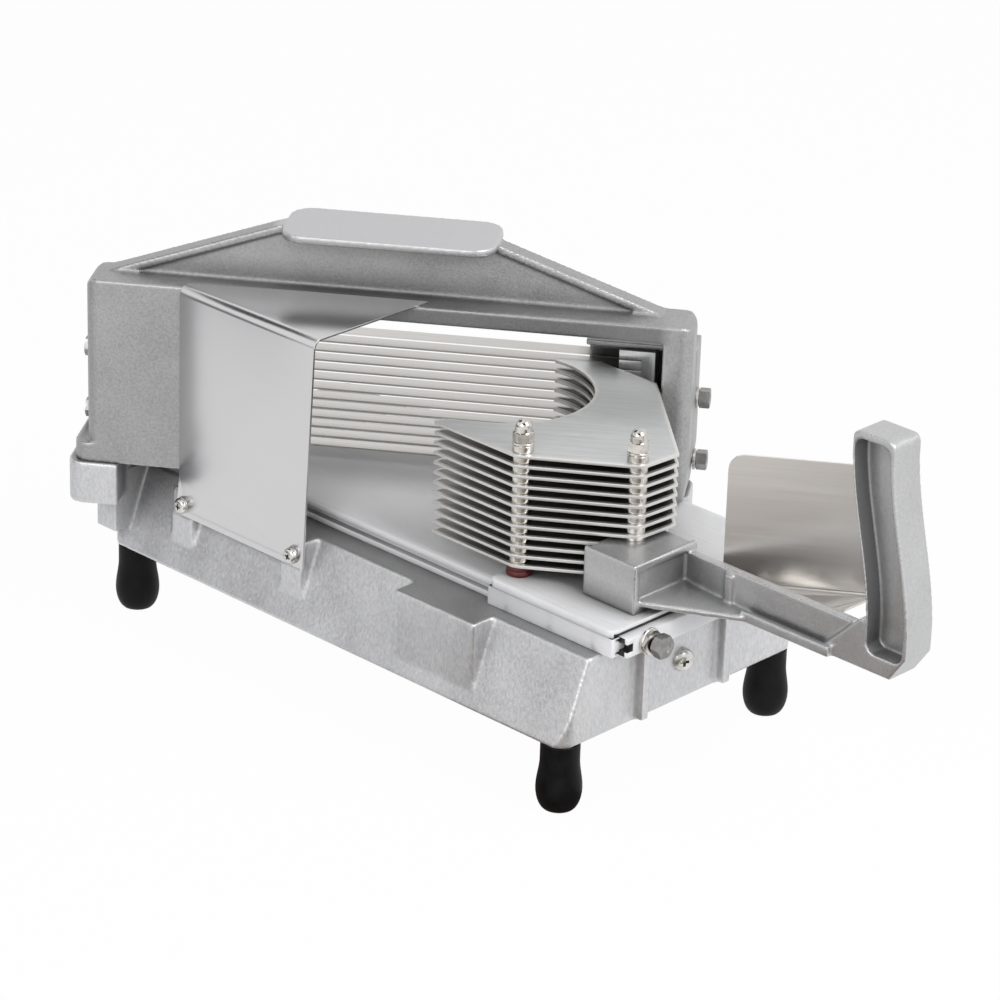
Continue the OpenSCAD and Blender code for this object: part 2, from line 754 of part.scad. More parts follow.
module acorn_nuts() {
  color([0.8, 0.8, 0.8]) at_posts() translate([0, 0, plate_top + slice_t - plate_t + 1.4]) difference() {
    union() {
      cylinder(d = 11.1 / cos(30), h = 6, $fn = 6);
      translate([0, 0, 6 - eps]) cylinder(d = 10, h = 3);
      intersection() {
        translate([0, 0, 9]) sphere(d = 10);
        translate([0, 0, 9 - 2 * eps]) cylinder(d = 12, h = 8);
      }
    }
    translate([0, 0, -1]) cylinder(d = post_d + 2 * hole_c, h = 12.6);
  }
}

module hand_guard() {
  r = 3;
  color([0.8, 0.8, 0.8]) difference() {
    union() {
      in_frame() {
        translate([0, hand_v + sheet_t, 0]) rotate([90, 0, 0]) linear_extrude(sheet_t) {
          translate([hand_u0, hand_z0 + r]) square([hand_u1 - hand_u0, hand_z1 - hand_z0 - r - 10]);
          translate([hand_u0 + 10, hand_z1 - 12]) square([hand_u1 - hand_u0 - 20, 12]);
          for (u = [hand_u0 + 10, hand_u1 - 10]) translate([u, hand_z1 - 10]) circle(10);
        }
        along_x(hand_u0, hand_u1) difference() {
          intersection() {
            translate([hand_v + sheet_t - r, hand_z0 + r]) circle(r);
            translate([hand_v + sheet_t - r, hand_z0]) square(r);
          }
          translate([hand_v + sheet_t - r, hand_z0 + r]) circle(r - sheet_t);
        }
      }
      intersection() {
        span([30, web_y1 + 0.6, hand_z0], [plan(hand_u1, hand_v).x, 160, hand_z0 + sheet_t]);
        in_frame() span([hand_u0, -200, 0], [hand_u1, hand_v + sheet_t - r + eps, 300]);
      }
    }
    at_hand_screws() post(4 + 2 * hole_c, -5, 1);
  }
}

module hand_guard_screws() {
  color([0.72, 0.71, 0.68]) at_hand_screws() pan_screw(4, 7.5, 3, 8);
}

module placed() {
  translate([-place_x, -place_y, 0]) children();
}

placed() base_casting();
placed() rubber_feet();
placed() foot_studs();
placed() slide_table();
placed() table_screws();
placed() blade_frame();
placed() frame_bolts();
placed() blade_holder_right();
placed() blade_holder_left();
placed() blades();
placed() blade_pins();
placed() tension_bolts();
placed() tension_washers();
placed() front_guard();
placed() guard_screws();
placed() stop_bolt();
placed() stop_washer();
placed() stop_nut();
placed() end_screw();
placed() slide_shoe();
placed() front_gib();
placed() rear_gib();
placed() gib_screws();
placed() pusher_casting();
placed() block_screws();
placed() post_bumper();
placed() pusher_posts();
placed() pusher_plates();
placed() short_plates();
placed() plate_spacers();
placed() post_washers();
placed() acorn_nuts();
placed() hand_guard();
placed() hand_guard_screws();
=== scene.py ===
from math import cos, pi, radians, sin, sqrt

import bmesh
import bpy
import numpy as np
from mathutils import Matrix, Vector
from mathutils.bvhtree import BVHTree


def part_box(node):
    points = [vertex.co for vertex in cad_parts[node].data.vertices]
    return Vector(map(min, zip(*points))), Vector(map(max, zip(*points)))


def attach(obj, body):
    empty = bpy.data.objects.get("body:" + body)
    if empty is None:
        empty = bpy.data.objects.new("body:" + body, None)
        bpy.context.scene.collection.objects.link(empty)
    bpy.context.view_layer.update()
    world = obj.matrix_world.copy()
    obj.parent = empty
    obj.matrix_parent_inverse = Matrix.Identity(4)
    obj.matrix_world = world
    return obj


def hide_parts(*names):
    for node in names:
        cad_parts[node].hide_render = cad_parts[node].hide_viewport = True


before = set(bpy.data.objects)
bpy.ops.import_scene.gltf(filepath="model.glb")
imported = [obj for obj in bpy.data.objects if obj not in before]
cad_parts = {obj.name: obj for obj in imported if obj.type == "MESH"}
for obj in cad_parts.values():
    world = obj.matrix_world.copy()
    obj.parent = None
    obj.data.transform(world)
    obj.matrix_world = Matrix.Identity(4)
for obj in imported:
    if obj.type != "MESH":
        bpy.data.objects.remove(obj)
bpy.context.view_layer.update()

# Base casting
# One hollow sand casting in aluminium with a flared front wall, deck, box, pads, ribs, corner pillar and ears.
# It is tumbled after casting, so its skin is grained and its edges are rounded; painted shade darkens its sheltered
# places and its level faces.


def node_copy(node):
    """A CAD node's own surface with its loose triangles joined."""
    bm = bmesh.new()
    bm.from_mesh(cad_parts[node].data)
    bmesh.ops.remove_doubles(bm, verts=bm.verts[:], dist=2e-6)
    return bm


def shown(name, bm_or_mesh):
    """Links a mesh to the scene as an object at the origin."""
    mesh = bm_or_mesh
    if isinstance(mesh, bmesh.types.BMesh):
        mesh = bpy.data.meshes.new(name)
        bm_or_mesh.to_mesh(mesh)
        bm_or_mesh.free()
    o = bpy.data.objects.new(name, mesh)
    bpy.context.scene.collection.objects.link(o)
    return o


def settled(o):
    """Plain mesh of an object with its modifiers worked in. The object itself goes."""
    graph = bpy.context.evaluated_depsgraph_get()
    mesh = bpy.data.meshes.new_from_object(o.evaluated_get(graph), preserve_all_data_layers=True, depsgraph=graph)
    bpy.data.objects.remove(o)
    return mesh


def fit(name, mesh, finish, slot, body, *nodes):
    """Puts a finished mesh on its body in place of the CAD nodes that it stands for."""
    mesh.materials.clear()
    mesh.materials.append(finish)
    o = shown(name, mesh)
    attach(o, body)
    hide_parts(*nodes)


def mark_edges(mesh, passes=2, tiny=1e-9):
    """Point attribute "edge": up to 1 on outer edges, down to -1 in inner corners, 0 on flat faces."""
    n = len(mesh.vertices)
    co, no = np.empty(n * 3, np.float32), np.empty(n * 3, np.float32)
    ends = np.empty(len(mesh.edges) * 2, np.int32)
    mesh.vertices.foreach_get("co", co)
    mesh.vertex_normals.foreach_get("vector", no)
    mesh.edges.foreach_get("vertices", ends)
    co, no = co.reshape(-1, 3), no.reshape(-1, 3)
    a, b = ends.reshape(-1, 2).T
    step = co[b] - co[a]
    step /= np.linalg.norm(step, axis=1)[:, None] + tiny
    count = np.bincount(a, minlength=n) + np.bincount(b, minlength=n) + tiny
    bulge = np.bincount(a, -(step * no[a]).sum(1), n) + np.bincount(b, (step * no[b]).sum(1), n)
    bulge /= count
    for _ in range(passes):
        bulge = 0.5 * bulge + 0.5 * (np.bincount(a, bulge[b], n) + np.bincount(b, bulge[a], n)) / count
    bulge /= np.percentile(np.abs(bulge), 97) + tiny
    bulge = np.clip(bulge, -1, 1).astype(np.float32)
    mesh.attributes.new("edge", "FLOAT", "POINT").data.foreach_set("value", bulge)


def put(tree, kind, inputs=None, **fields):
    """Adds a node, sets its fields, and sets or links its inputs."""
    n = tree.nodes.new(kind)
    for key, value in fields.items():
        setattr(n, key, value)
    for key, value in (inputs or {}).items():
        if isinstance(value, bpy.types.NodeSocket):
            tree.links.new(value, n.inputs[key])
        else:
            n.inputs[key].default_value = value
    return n


def calc(tree, operation, a, b=0.0):
    """One sum, product or comparison of two values."""
    return put(tree, "ShaderNodeMath", {0: a, 1: b}, operation=operation).outputs[0]


def ramp(tree, value, low, high, to_low=0.0, to_high=1.0):
    """A value's way from low to high, drawn out from to_low to to_high and held there."""
    return put(tree, "ShaderNodeMapRange", {0: value, 1: low, 2: high, 3: to_low, 4: to_high}).outputs[0]


def add_inputs(tree, inputs):
    """Named inputs of a node group from (label, kind, default) rows. Gives their identifiers."""
    keys = {}
    for label, kind, value in inputs:
        socket = tree.interface.new_socket(label, in_out="INPUT", socket_type="NodeSocket" + kind)
        if value is not None:
            socket.default_value = value
        keys[label] = socket.identifier
    return keys


def tree_of(name, inputs):
    """Geometry tree that takes a mesh, the named inputs and a material: the tree, its identifiers, its sockets."""
    tree = bpy.data.node_groups.new(name, "GeometryNodeTree")
    keys = add_inputs(tree, [("Geometry", "Geometry", None), *inputs, ("Finish", "Material", None)])
    tree.interface.new_socket("Geometry", in_out="OUTPUT", socket_type="NodeSocketGeometry")
    return tree, keys, put(tree, "NodeGroupInput").outputs


def close_tree(tree, geometry, finish):
    """Ends a geometry tree with its instances made real and its material set."""
    solid = put(tree, "GeometryNodeRealizeInstances", {0: geometry}).outputs[0]
    solid = put(tree, "GeometryNodeSetMaterial", {"Geometry": solid, "Material": finish}).outputs[0]
    put(tree, "NodeGroupOutput", {0: solid})


def worked(name, mesh, tree, keys, **values):
    """Plain mesh that a geometry tree makes of another one, with its inputs set by identifier."""
    o = shown(name, mesh)
    m = o.modifiers.new(tree.name, "NODES")
    m.node_group = tree
    for label, value in values.items():
        m[keys[label]] = value
    return settled(o)


# share of the rays around each point's normal that meet the mesh itself or its neighbours within Reach
ray_count, ray_lean, golden_angle = 16, 0.97, 2.39996
shelter_tree, shelter_keys, pin = tree_of("shelter", [("Around", "Object", None), ("Reach", "Float", 0.06)])
walls = put(shelter_tree, "GeometryNodeJoinGeometry")
for part in (pin["Geometry"], put(shelter_tree, "GeometryNodeObjectInfo", {"Object": pin["Around"]}).outputs["Geometry"]):
    shelter_tree.links.new(part, walls.inputs[0])
normal = put(shelter_tree, "GeometryNodeInputNormal").outputs[0]
lift = put(shelter_tree, "ShaderNodeVectorMath", {0: normal, "Scale": 0.0009}, operation="SCALE").outputs[0]
place = put(shelter_tree, "GeometryNodeInputPosition").outputs[0]
start = put(shelter_tree, "ShaderNodeVectorMath", {0: place, 1: lift}, operation="ADD").outputs[0]
hits = 0.0
for k in range(ray_count):
    z, a = 1 - (2 * k + 1) / ray_count, golden_angle * k
    lean = (sqrt(1 - z * z) * cos(a) * ray_lean, sqrt(1 - z * z) * sin(a) * ray_lean, z * ray_lean)
    ray = put(shelter_tree, "ShaderNodeVectorMath", {0: normal, 1: lean}, operation="ADD").outputs[0]
    met = put(shelter_tree, "GeometryNodeRaycast", {"Target Geometry": walls.outputs[0], "Source Position": start,
                                                    "Ray Direction": ray, "Ray Length": pin["Reach"]})
    hits = calc(shelter_tree, "ADD", met.outputs["Is Hit"], hits)
share = calc(shelter_tree, "MULTIPLY", hits, 1 / ray_count)
share = put(shelter_tree, "GeometryNodeBlurAttribute", {"Value": share, "Iterations": 6}, data_type="FLOAT").outputs[0]
kept = put(shelter_tree, "GeometryNodeStoreNamedAttribute", {"Geometry": pin["Geometry"], "Name": "shelter", "Value": share},
           data_type="FLOAT", domain="POINT").outputs[0]
close_tree(shelter_tree, kept, pin["Finish"])


def sheltered(name, mesh, finish, *neighbours):
    """Point attribute "shelter": how far each point is shut in by its own mesh and by the CAD nodes around it."""
    around = bmesh.new()
    for other in neighbours:
        around.from_mesh(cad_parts[other].data)
    around = shown(name + "_around", around)
    mesh = worked(name, mesh, shelter_tree, shelter_keys, Around=around, Reach=0.06, Finish=finish)
    bpy.data.objects.remove(around)
    return mesh


def cast_skin(name, node, finish, grid, passes, share, *neighbours):
    """Skin over a cast CAD node: edges rounded, fewer faces where it is flat, edges and sheltered places marked."""
    o = shown(name, node_copy(node))
    skin = o.modifiers.new("skin", "REMESH")
    skin.mode, skin.voxel_size = "VOXEL", grid
    soft = o.modifiers.new("soft", "SMOOTH")
    soft.factor, soft.iterations = 0.5, passes
    o.modifiers.new("fewer", "DECIMATE").ratio = share
    mesh = settled(o)
    mesh.shade_smooth()
    mark_edges(mesh)
    return sheltered(name, mesh, finish, *neighbours)


def effect(name, inputs, outputs):
    """Empty shader group with named sockets: the group, what goes in and what comes out."""
    group = bpy.data.node_groups.new(name, "ShaderNodeTree")
    add_inputs(group, inputs)
    for label in outputs:
        group.interface.new_socket(label, in_out="OUTPUT", socket_type="NodeSocketFloat")
    return group, put(group, "NodeGroupInput").outputs, put(group, "NodeGroupOutput").inputs


def noise(tree, vector, scale, detail, rough=0.5):
    """Cloudy noise between 0 and 1."""
    values = {"Vector": vector, "Scale": scale, "Detail": detail, "Roughness": rough}
    return put(tree, "ShaderNodeTexNoise", values).outputs[0]


# grain of a sand casting: broad blotches, speckle of a few millimetres, and shallow pits
grain, into, out = effect("cast grain", [("Vector", "Vector", None), ("Speckle", "Float", 640.0), ("Blotch", "Float", 30.0)],
                          ["Tone", "Rough", "Height"])
blotch = noise(grain, into["Vector"], into["Blotch"], 4.0, 0.6)
speckle = noise(grain, into["Vector"], into["Speckle"], 3.0, 0.7)
pit_scale = calc(grain, "MULTIPLY", into["Speckle"], 0.8)
cells = put(grain, "ShaderNodeTexVoronoi", {"Vector": into["Vector"], "Scale": pit_scale}).outputs[0]
pits = ramp(grain, cells, 0.05, 0.35, 0.0, 0.3)
broad = ramp(grain, blotch, 0.3, 0.7, 0.0, 0.35)
spots = ramp(grain, speckle, 0.33, 0.67, 0.0, 0.65)
grain.links.new(calc(grain, "ADD", broad, spots), out["Tone"])
grain.links.new(ramp(grain, calc(grain, "ADD", blotch, speckle), 0.7, 1.3), out["Rough"])
height = calc(grain, "ADD", calc(grain, "ADD", speckle, pits), calc(grain, "MULTIPLY", blotch, 0.8))
grain.links.new(height, out["Height"])

# outer edges rubbed bright and brightened further as a painted highlight, inner corners darkened as painted shade
edge_wear_highlight_shade, into, out = effect("edge wear, highlight and shade", [("Vector", "Vector", None), ("Edge", "Float", 0.0), ("Break", "Float", 0.5)],
                         ["Bright", "Corner shade"])
fray = calc(edge_wear_highlight_shade, "MULTIPLY", calc(edge_wear_highlight_shade, "SUBTRACT", noise(edge_wear_highlight_shade, into["Vector"], 130.0, 3.0), 0.5), into["Break"])
edge_wear_highlight_shade.links.new(ramp(edge_wear_highlight_shade, calc(edge_wear_highlight_shade, "ADD", into["Edge"], fray), 0.25, 0.95), out["Bright"])
edge_wear_highlight_shade.links.new(ramp(edge_wear_highlight_shade, calc(edge_wear_highlight_shade, "SUBTRACT", fray, into["Edge"]), 0.25, 0.95), out["Corner shade"])


def shader(name, **values):
    """Material with one Principled shader, whose plain values sit on its own sockets."""
    m = bpy.data.materials.new(name)
    m.use_nodes = True
    b = m.node_tree.nodes["Principled BSDF"]
    for key, value in values.items():
        b.inputs[key.replace("_", " ")].default_value = value
    spot = put(m.node_tree, "ShaderNodeTexCoord").outputs["Object"]
    return m, m.node_tree, b, spot


def used(t, group, **values):
    """Places a shader group in a material and gives its outputs."""
    return put(t, "ShaderNodeGroup", values, node_tree=group).outputs


def mark(t, name):
    """A mesh's own attribute as a value."""
    return put(t, "ShaderNodeAttribute", attribute_name=name).outputs["Fac"]


def parts(t, vector):
    """X, Y and Z of a vector."""
    return put(t, "ShaderNodeSeparateXYZ", {0: vector}).outputs


def rise(t):
    """Upward part of the surface's direction: 1 on level faces."""
    return parts(t, put(t, "ShaderNodeNewGeometry").outputs["Normal"])["Z"]


def tint(t, share, a, b):
    """Colour between a and b."""
    return put(t, "ShaderNodeMix", {0: share, 6: a, 7: b}, data_type="RGBA").outputs[2]


def shade(colour, share):
    """A share of a plain colour's brightness."""
    return [share * c for c in colour[:3]] + [1.0]


def wire(t, b, colour, rough, strength, distance, height):
    """Leads a material's colour, roughness and bump to its Principled shader."""
    bump = put(t, "ShaderNodeBump", {"Strength": strength, "Distance": distance, "Height": height})
    for value, label in ((colour, "Base Color"), (rough, "Roughness"), (bump.outputs[0], "Normal")):
        t.links.new(value, b.inputs[label])


def repaint(metal):
    """A finished material's nodes, its Principled shader and the colour that it has so far."""
    b = metal.node_tree.nodes["Principled BSDF"]
    return metal.node_tree, b, b.inputs["Base Color"].links[0].from_socket


def cast_metal(name, dark, light, smoothest, roughest, depth, drawn=(1.0, 1.0, 1.0)):
    """Grained casting with rubbed edges that also carry a painted highlight, and painted shade in its inner corners and
    sheltered places.
    """
    m, t, b, spot = shader(name, Metallic=0.85, IOR=1.5)
    g = used(t, grain, Vector=put(t, "ShaderNodeMapping", {"Vector": spot, "Scale": drawn}).outputs[0])
    w = used(t, edge_wear_highlight_shade, Vector=spot, Edge=mark(t, "edge"))
    colour = tint(t, g["Tone"], dark, light)
    # painted shade: the colour darkens where the shelter attribute says rays meet other surfaces
    colour = tint(t, ramp(t, mark(t, "shelter"), 0.18, 0.85, 0.0, 0.85), colour, shade(dark, 0.16))
    # painted shade in inner corners
    colour = tint(t, calc(t, "MULTIPLY", w["Corner shade"], 0.5), colour, shade(dark, 0.45))
    # outer edges brightened: rubbed wear, also a painted highlight
    colour = tint(t, calc(t, "MULTIPLY", w["Bright"], 0.17), colour, (0.8, 0.8, 0.8, 1.0))
    rough = ramp(t, g["Rough"], 0.0, 1.0, smoothest, roughest)
    rough = calc(t, "SUBTRACT", rough, calc(t, "MULTIPLY", w["Bright"], 0.1))
    wire(t, b, colour, rough, 0.45, depth, g["Height"])
    return m


base_metal = cast_metal("cast base aluminium", (0.51, 0.512, 0.522, 1.0), (0.75, 0.752, 0.762, 1.0), 0.4, 0.58, 0.0005,
                        (1.0, 1.0, 0.5))
t, b, plain = repaint(base_metal)
# painted shade: faces that look upwards, such as the deck, are darkened
deck = ramp(t, rise(t), 0.8, 0.96, 0.0, 0.48)
t.links.new(tint(t, deck, plain, (0.12, 0.12, 0.115, 1.0)), b.inputs["Base Color"])
base_skin = cast_skin("cast_base", "base_casting", base_metal, 0.0013, 3, 0.52, "slide_table", "blade_frame", "front_guard")
fit("cast_base", base_skin, base_metal, "cast_aluminium", "base", "base_casting")

# Rubber feet and their studs
# Four black rubber feet with a round bulge on a tapered neck, moulded in one piece.
# A plated stud inside each one screws it into a boss under the base.
mm = 0.001
source_x, source_y = 115.23167, -87.75009


def spot_of(x, y, z):
    """Point in metres from the source's own millimetres, which start at the near foot."""
    return Vector((x + source_x, y + source_y, z)) * mm


def turned(profile, steps=48, ring=False):
    """Solid turned from (radius, height) points in mm.

    A third value makes a row six-sided: 1 lowers its corners, as on top of a nut, and -1 raises them.
    """
    bm = bmesh.new()
    rows = []
    for r, z, *six in profile:
        if r < 1e-6:
            rows.append([bm.verts.new((0, 0, z * mm))])
            continue
        row = []
        for k in range(steps):
            a = 2 * pi * k / steps
            reach = r / cos((a + pi / 6) % (pi / 3) - pi / 6) if six else r
            height = z - six[0] * 0.5 * (reach - r) if six else z
            row.append(bm.verts.new((reach * cos(a) * mm, reach * sin(a) * mm, height * mm)))
        rows.append(row)
    for low, high in list(zip(rows, rows[1:])) + ([(rows[-1], rows[0])] if ring else []):
        for k in range(steps):
            loop = [low[k % len(low)], low[(k + 1) % len(low)], high[(k + 1) % len(high)], high[k % len(high)]]
            loop = list(dict.fromkeys(loop))
            if len(loop) > 2:
                bm.faces.new(loop)
    bmesh.ops.recalc_face_normals(bm, faces=bm.faces[:])
    return bm


# one item on each point of a helper mesh, turned by the point's own angles
placed_tree, placed_keys, pin = tree_of("placed copies", [("Item", "Object", None)])
item = put(placed_tree, "GeometryNodeObjectInfo", {"Object": pin["Item"]}).outputs["Geometry"]
angles = put(placed_tree, "GeometryNodeInputNamedAttribute", {"Name": "turn"}, data_type="FLOAT_VECTOR").outputs["Attribute"]
turns = put(placed_tree, "FunctionNodeEulerToRotation", {0: angles}).outputs[0]
copies = put(placed_tree, "GeometryNodeInstanceOnPoints", {"Points": pin["Geometry"], "Instance": item, "Rotation": turns})
close_tree(placed_tree, copies.outputs[0], pin["Finish"])


def smooth(mesh, sharp):
    """Shades a mesh smooth, apart from edges sharper than an angle in degrees."""
    mesh.shade_smooth()
    mesh.set_sharp_from_angle(angle=radians(sharp))
    return mesh


def fit_copies(name, bm, places, finish, slot, body, node, sharp=35):
    """Puts copies of one item, at (point, angles) places, on a body in place of a CAD node."""
    item = shown(name + "_item", bm)
    points = bpy.data.meshes.new(name)
    points.from_pydata([p for p, _ in places], [], [])
    turns = [c for _, angles in places for c in angles]
    points.attributes.new("turn", "FLOAT_VECTOR", "POINT").data.foreach_set("vector", turns)
    mesh = worked(name, points, placed_tree, placed_keys, Item=item, Finish=finish)
    bpy.data.objects.remove(item)
    mesh.attributes.remove(mesh.attributes["turn"])
    fit(name, smooth(mesh, sharp), finish, slot, body, node)


def plated_metal(name, colour, rough, scratch):
    """Bright plating with fine turning marks and a few dull spots."""
    m, t, b, spot = shader(name, Metallic=1.0)
    haze, fine = noise(t, spot, 260.0, 3.0), noise(t, spot, 2600.0, 2.0)
    wire(t, b, tint(t, ramp(t, haze, 0.35, 0.7), colour, shade(colour, 0.72)),
         ramp(t, haze, 0.3, 0.75, rough, rough + 0.16), scratch, 0.00008, fine)
    return m


rubber, t, b, spot = shader("black rubber", Specular_IOR_Level=0.13)
bloom, pores = noise(t, spot, 90.0, 5.0), noise(t, spot, 1500.0, 2.0)
wire(t, b, tint(t, ramp(t, bloom, 0.35, 0.75), (0.003, 0.003, 0.0034, 1.0), (0.009, 0.009, 0.0098, 1.0)),
     ramp(t, bloom, 0.3, 0.7, 0.42, 0.6), 0.35, 0.00012, pores)

sole_r, bulge_r, neck_r, bulge_z, neck_z = 7, 13.75, 11.75, 14, 32
foot_profile = [(0, 0), (5.6, 0), (6.9, 0.35)]
for z in (1.0, 2.2, 3.8, 5.8, 8.2, 11.0, 14.0):
    foot_profile.append((sole_r + (bulge_r - sole_r) * sqrt(1 - (1 - z / bulge_z) ** 2), z))
for z in (17, 20, 23, 26, 29, 31):
    s = (z - bulge_z) / (neck_z - bulge_z)
    foot_profile.append((bulge_r - (bulge_r - neck_r) * s * s * (3 - 2 * s), z))
foot_profile += [(neck_r, 34.0), (neck_r, 43.2), (11.1, 43.95), (4.4, 43.95), (4.4, 16.2), (0, 16.0)]
feet_at = [(spot_of(x, y, 0), (0, 0, 0)) for x in (-367, 0) for y in (0, 182)]
fit_copies("rubber_feet_moulded", turned(foot_profile, 64), feet_at, rubber, "black_rubber", "base", "rubber_feet")
stud_metal = plated_metal("plated steel", (0.74, 0.73, 0.70, 1.0), 0.16, 0.15)
stud = turned([(0, 17), (3.2, 17), (4.0, 17.8), (4.0, 58.2), (3.2, 59), (0, 59)], 24)
fit_copies("foot_studs_turned", stud, feet_at, stud_metal, "plated_steel", "base", "foot_studs")

# Slide table
# A white plastic board, slightly translucent, sawn and planed from sheet and screwed down on the deck from below.
# Guide grooves run along both long sides. The pusher has polished faint lines into its top.


def crisp(name, bm, width, sharp=30, segments=2):
    """Keeps a solid's flat faces and breaks its edges by a small round."""
    bmesh.ops.dissolve_limit(bm, angle_limit=radians(1), verts=bm.verts[:], edges=bm.edges[:])
    o = shown(name, bm)
    m = o.modifiers.new("break", "BEVEL")
    m.width, m.segments, m.limit_method, m.angle_limit = width, segments, "ANGLE", radians(sharp)
    m.use_clamp_overlap = True
    return smooth(settled(o), 40)


def gridded(mesh, step):
    """Cuts a mesh's faces along a square grid seen from above, so that it can carry a shade that varies."""
    bm = bmesh.new()
    bm.from_mesh(mesh)
    for k, way in enumerate((Vector((1, 0, 0)), Vector((0, 1, 0)))):
        ends = [v.co[k] for v in bm.verts]
        for at in np.arange(min(ends) + step / 2, max(ends), step):
            whole = bm.verts[:] + bm.edges[:] + bm.faces[:]
            bmesh.ops.bisect_plane(bm, geom=whole, dist=1e-6, plane_co=way * at, plane_no=way)
    bm.to_mesh(mesh)
    bm.free()
    return mesh


# long faint streaks of sawing, brushing or sliding, drawn out along the smallest part of Stretch
streaks, into, out = effect("streaks", [("Vector", "Vector", None), ("Stretch", "Vector", (40.0, 2500.0, 2500.0))],
                            ["Streak", "Height"])
drawn = put(streaks, "ShaderNodeVectorMath", {0: into["Vector"], 1: into["Stretch"]}, operation="MULTIPLY").outputs[0]
coarse, hair = noise(streaks, drawn, 0.35, 3.0, 0.65), noise(streaks, drawn, 1.6, 2.0)
streaks.links.new(ramp(streaks, calc(streaks, "ADD", coarse, hair), 0.75, 1.25), out["Streak"])
streaks.links.new(calc(streaks, "ADD", calc(streaks, "MULTIPLY", coarse, 0.6), hair), out["Height"])


def white_board(name, low, high, open_share, shut_share):
    """White plastic with faint streaks along the slide and a cloudy tone, with painted shade on its sheltered upward
    faces and painted shadow in its recesses.
    """
    m, t, b, spot = shader(name, IOR=1.49, Subsurface_Weight=0.7, Subsurface_Radius=(1.0, 1.0, 1.0), Subsurface_Scale=0.005)
    g = used(t, streaks, Vector=spot, Stretch=(25.0, 900.0, 900.0))
    cloud = ramp(t, noise(t, spot, 14.0, 3.0), 0.3, 0.7)
    colour = tint(t, cloud, (0.80, 0.80, 0.81, 1.0), (0.87, 0.87, 0.878, 1.0))
    colour = tint(t, calc(t, "MULTIPLY", g["Streak"], 0.12), colour, (0.70, 0.70, 0.71, 1.0))
    # painted shade on sheltered faces that look upwards
    painted_shade = ramp(t, mark(t, "shelter"), open_share, shut_share, 0.0, 0.75)
    painted_shade = calc(t, "MULTIPLY", painted_shade, ramp(t, rise(t), 0.7, 0.95))
    colour = tint(t, painted_shade, colour, (0.09, 0.082, 0.075, 1.0))
    # painted shadow in slots and narrow gaps marked as recess
    colour = tint(t, mark(t, "recess"), colour, (0.02, 0.018, 0.016, 1.0))
    wire(t, b, colour, ramp(t, g["Streak"], 0.0, 1.0, low, high), 0.05, 0.00008, g["Height"])
    return m


def mark_recess(mesh, reach, start, *neighbours):
    """Face attribute "recess": 1, right of start, on faces that look at another one closer than reach or lie in a slot."""
    walls = bmesh.new()
    walls.from_mesh(mesh)
    for other in neighbours:
        walls.from_mesh(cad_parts[other].data)
    tree = BVHTree.FromBMesh(walls)
    walls.free()
    deep = []
    for f in mesh.polygons:
        at = f.center + f.normal * 2e-5
        ways = (f.normal, Vector((0, 0, 1)), Vector((0, 0, -1)))
        facing, above, below = (tree.ray_cast(at, way, reach)[0] for way in ways)
        deep.append(1.0 if at.x > start and (facing or above and below) else 0.0)
    mesh.attributes.new("recess", "FLOAT", "FACE").data.foreach_set("value", deep)
    return mesh


board = white_board("white board plastic", 0.3, 0.42, 0.1, 0.6)
table = gridded(crisp("slide_board", node_copy("slide_table"), 0.0006), 0.008)
table = sheltered("slide_board", table, board, "front_guard", "blade_frame", "blades")
table = mark_recess(table, 0.005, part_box("slide_table")[1].x - 0.012, "front_gib", "rear_gib")
fit("slide_board", table, board, "white_plastic", "base", "slide_table")


def carved(bm, tool):
    """One solid with another taken out of it."""
    o, cut = shown("carved", bm), shown("tool", tool)
    m = o.modifiers.new("cut", "BOOLEAN")
    m.object, m.operation, m.solver, m.use_self = cut, "DIFFERENCE", "EXACT", True
    mesh = settled(o)
    bpy.data.objects.remove(cut)
    bm = bmesh.new()
    bm.from_mesh(mesh)
    return bm


def pan_screw(shank, head, height, length):
    """Pan head screw with a cross recess, pointing down from its seat at the origin, in mm."""
    r, s = head / 2, shank / 2
    dome = [(1, 0.3), (0.96, 0.52), (0.86, 0.74), (0.68, 0.9), (0.42, 0.98), (0, 1)]
    bm = turned([(0, -length), (s * 0.7, -length), (s, -length + s * 0.5), (s, -0.05), (r * 0.97, 0.0), (r, 0.18)]
                + [(r * wide, height * tall) for wide, tall in dome])
    cut = bmesh.new()
    for turn in (0, pi / 2):
        wing = bmesh.ops.create_cone(cut, cap_ends=True, segments=4, radius1=head * 0.19, radius2=head * 0.36, depth=height)
        flat = Matrix.Rotation(turn, 4, "Z") @ Matrix.Diagonal((1, 0.3, 1, 1)) @ Matrix.Rotation(pi / 4, 4, "Z")
        seat = Matrix.Scale(mm, 4) @ Matrix.Translation((0, 0, height * 0.92)) @ flat
        bmesh.ops.transform(cut, matrix=seat, verts=wing["verts"])
    return carved(bm, cut)


def hex_screw(shank, flats, height, length):
    """Hex head screw with cut corners and a washer face, pointing down from its seat at the origin, in mm."""
    r, s = flats / 2, shank / 2
    return turned([(0, -length), (s * 0.75, -length), (s, -length + s * 0.4), (s, -0.05), (r * 0.94, 0.0), (r * 0.94, 0.35),
                   (r, 0.36, -1), (r, height, 1), (r * 0.97, height), (r * 0.55, height), (r * 0.5, height - 0.25),
                   (0, height - 0.3)], 72)


def ring_washer(outer, hole, thick):
    """Flat washer with broken edges, standing on the origin, in mm."""
    r, h, c = outer / 2, hole / 2, min(0.25, thick * 0.25)
    return turned([(h, c), (h + c, 0), (r - c, 0), (r, c), (r, thick - c), (r - c, thick), (h + c, thick), (h, thick - c)],
                  48, True)


table_screws_at = [(spot_of(x, y, 89), (pi, 0, 0.3 * k))
                   for k, (x, y) in enumerate([(-270, 60), (-270, 145), (-20, 60), (-20, 145)])]
fit_copies("table_screws_turned", pan_screw(5, 9.5, 3.6, 16), table_screws_at, stud_metal,
           "plated_steel", "base", "table_screws")

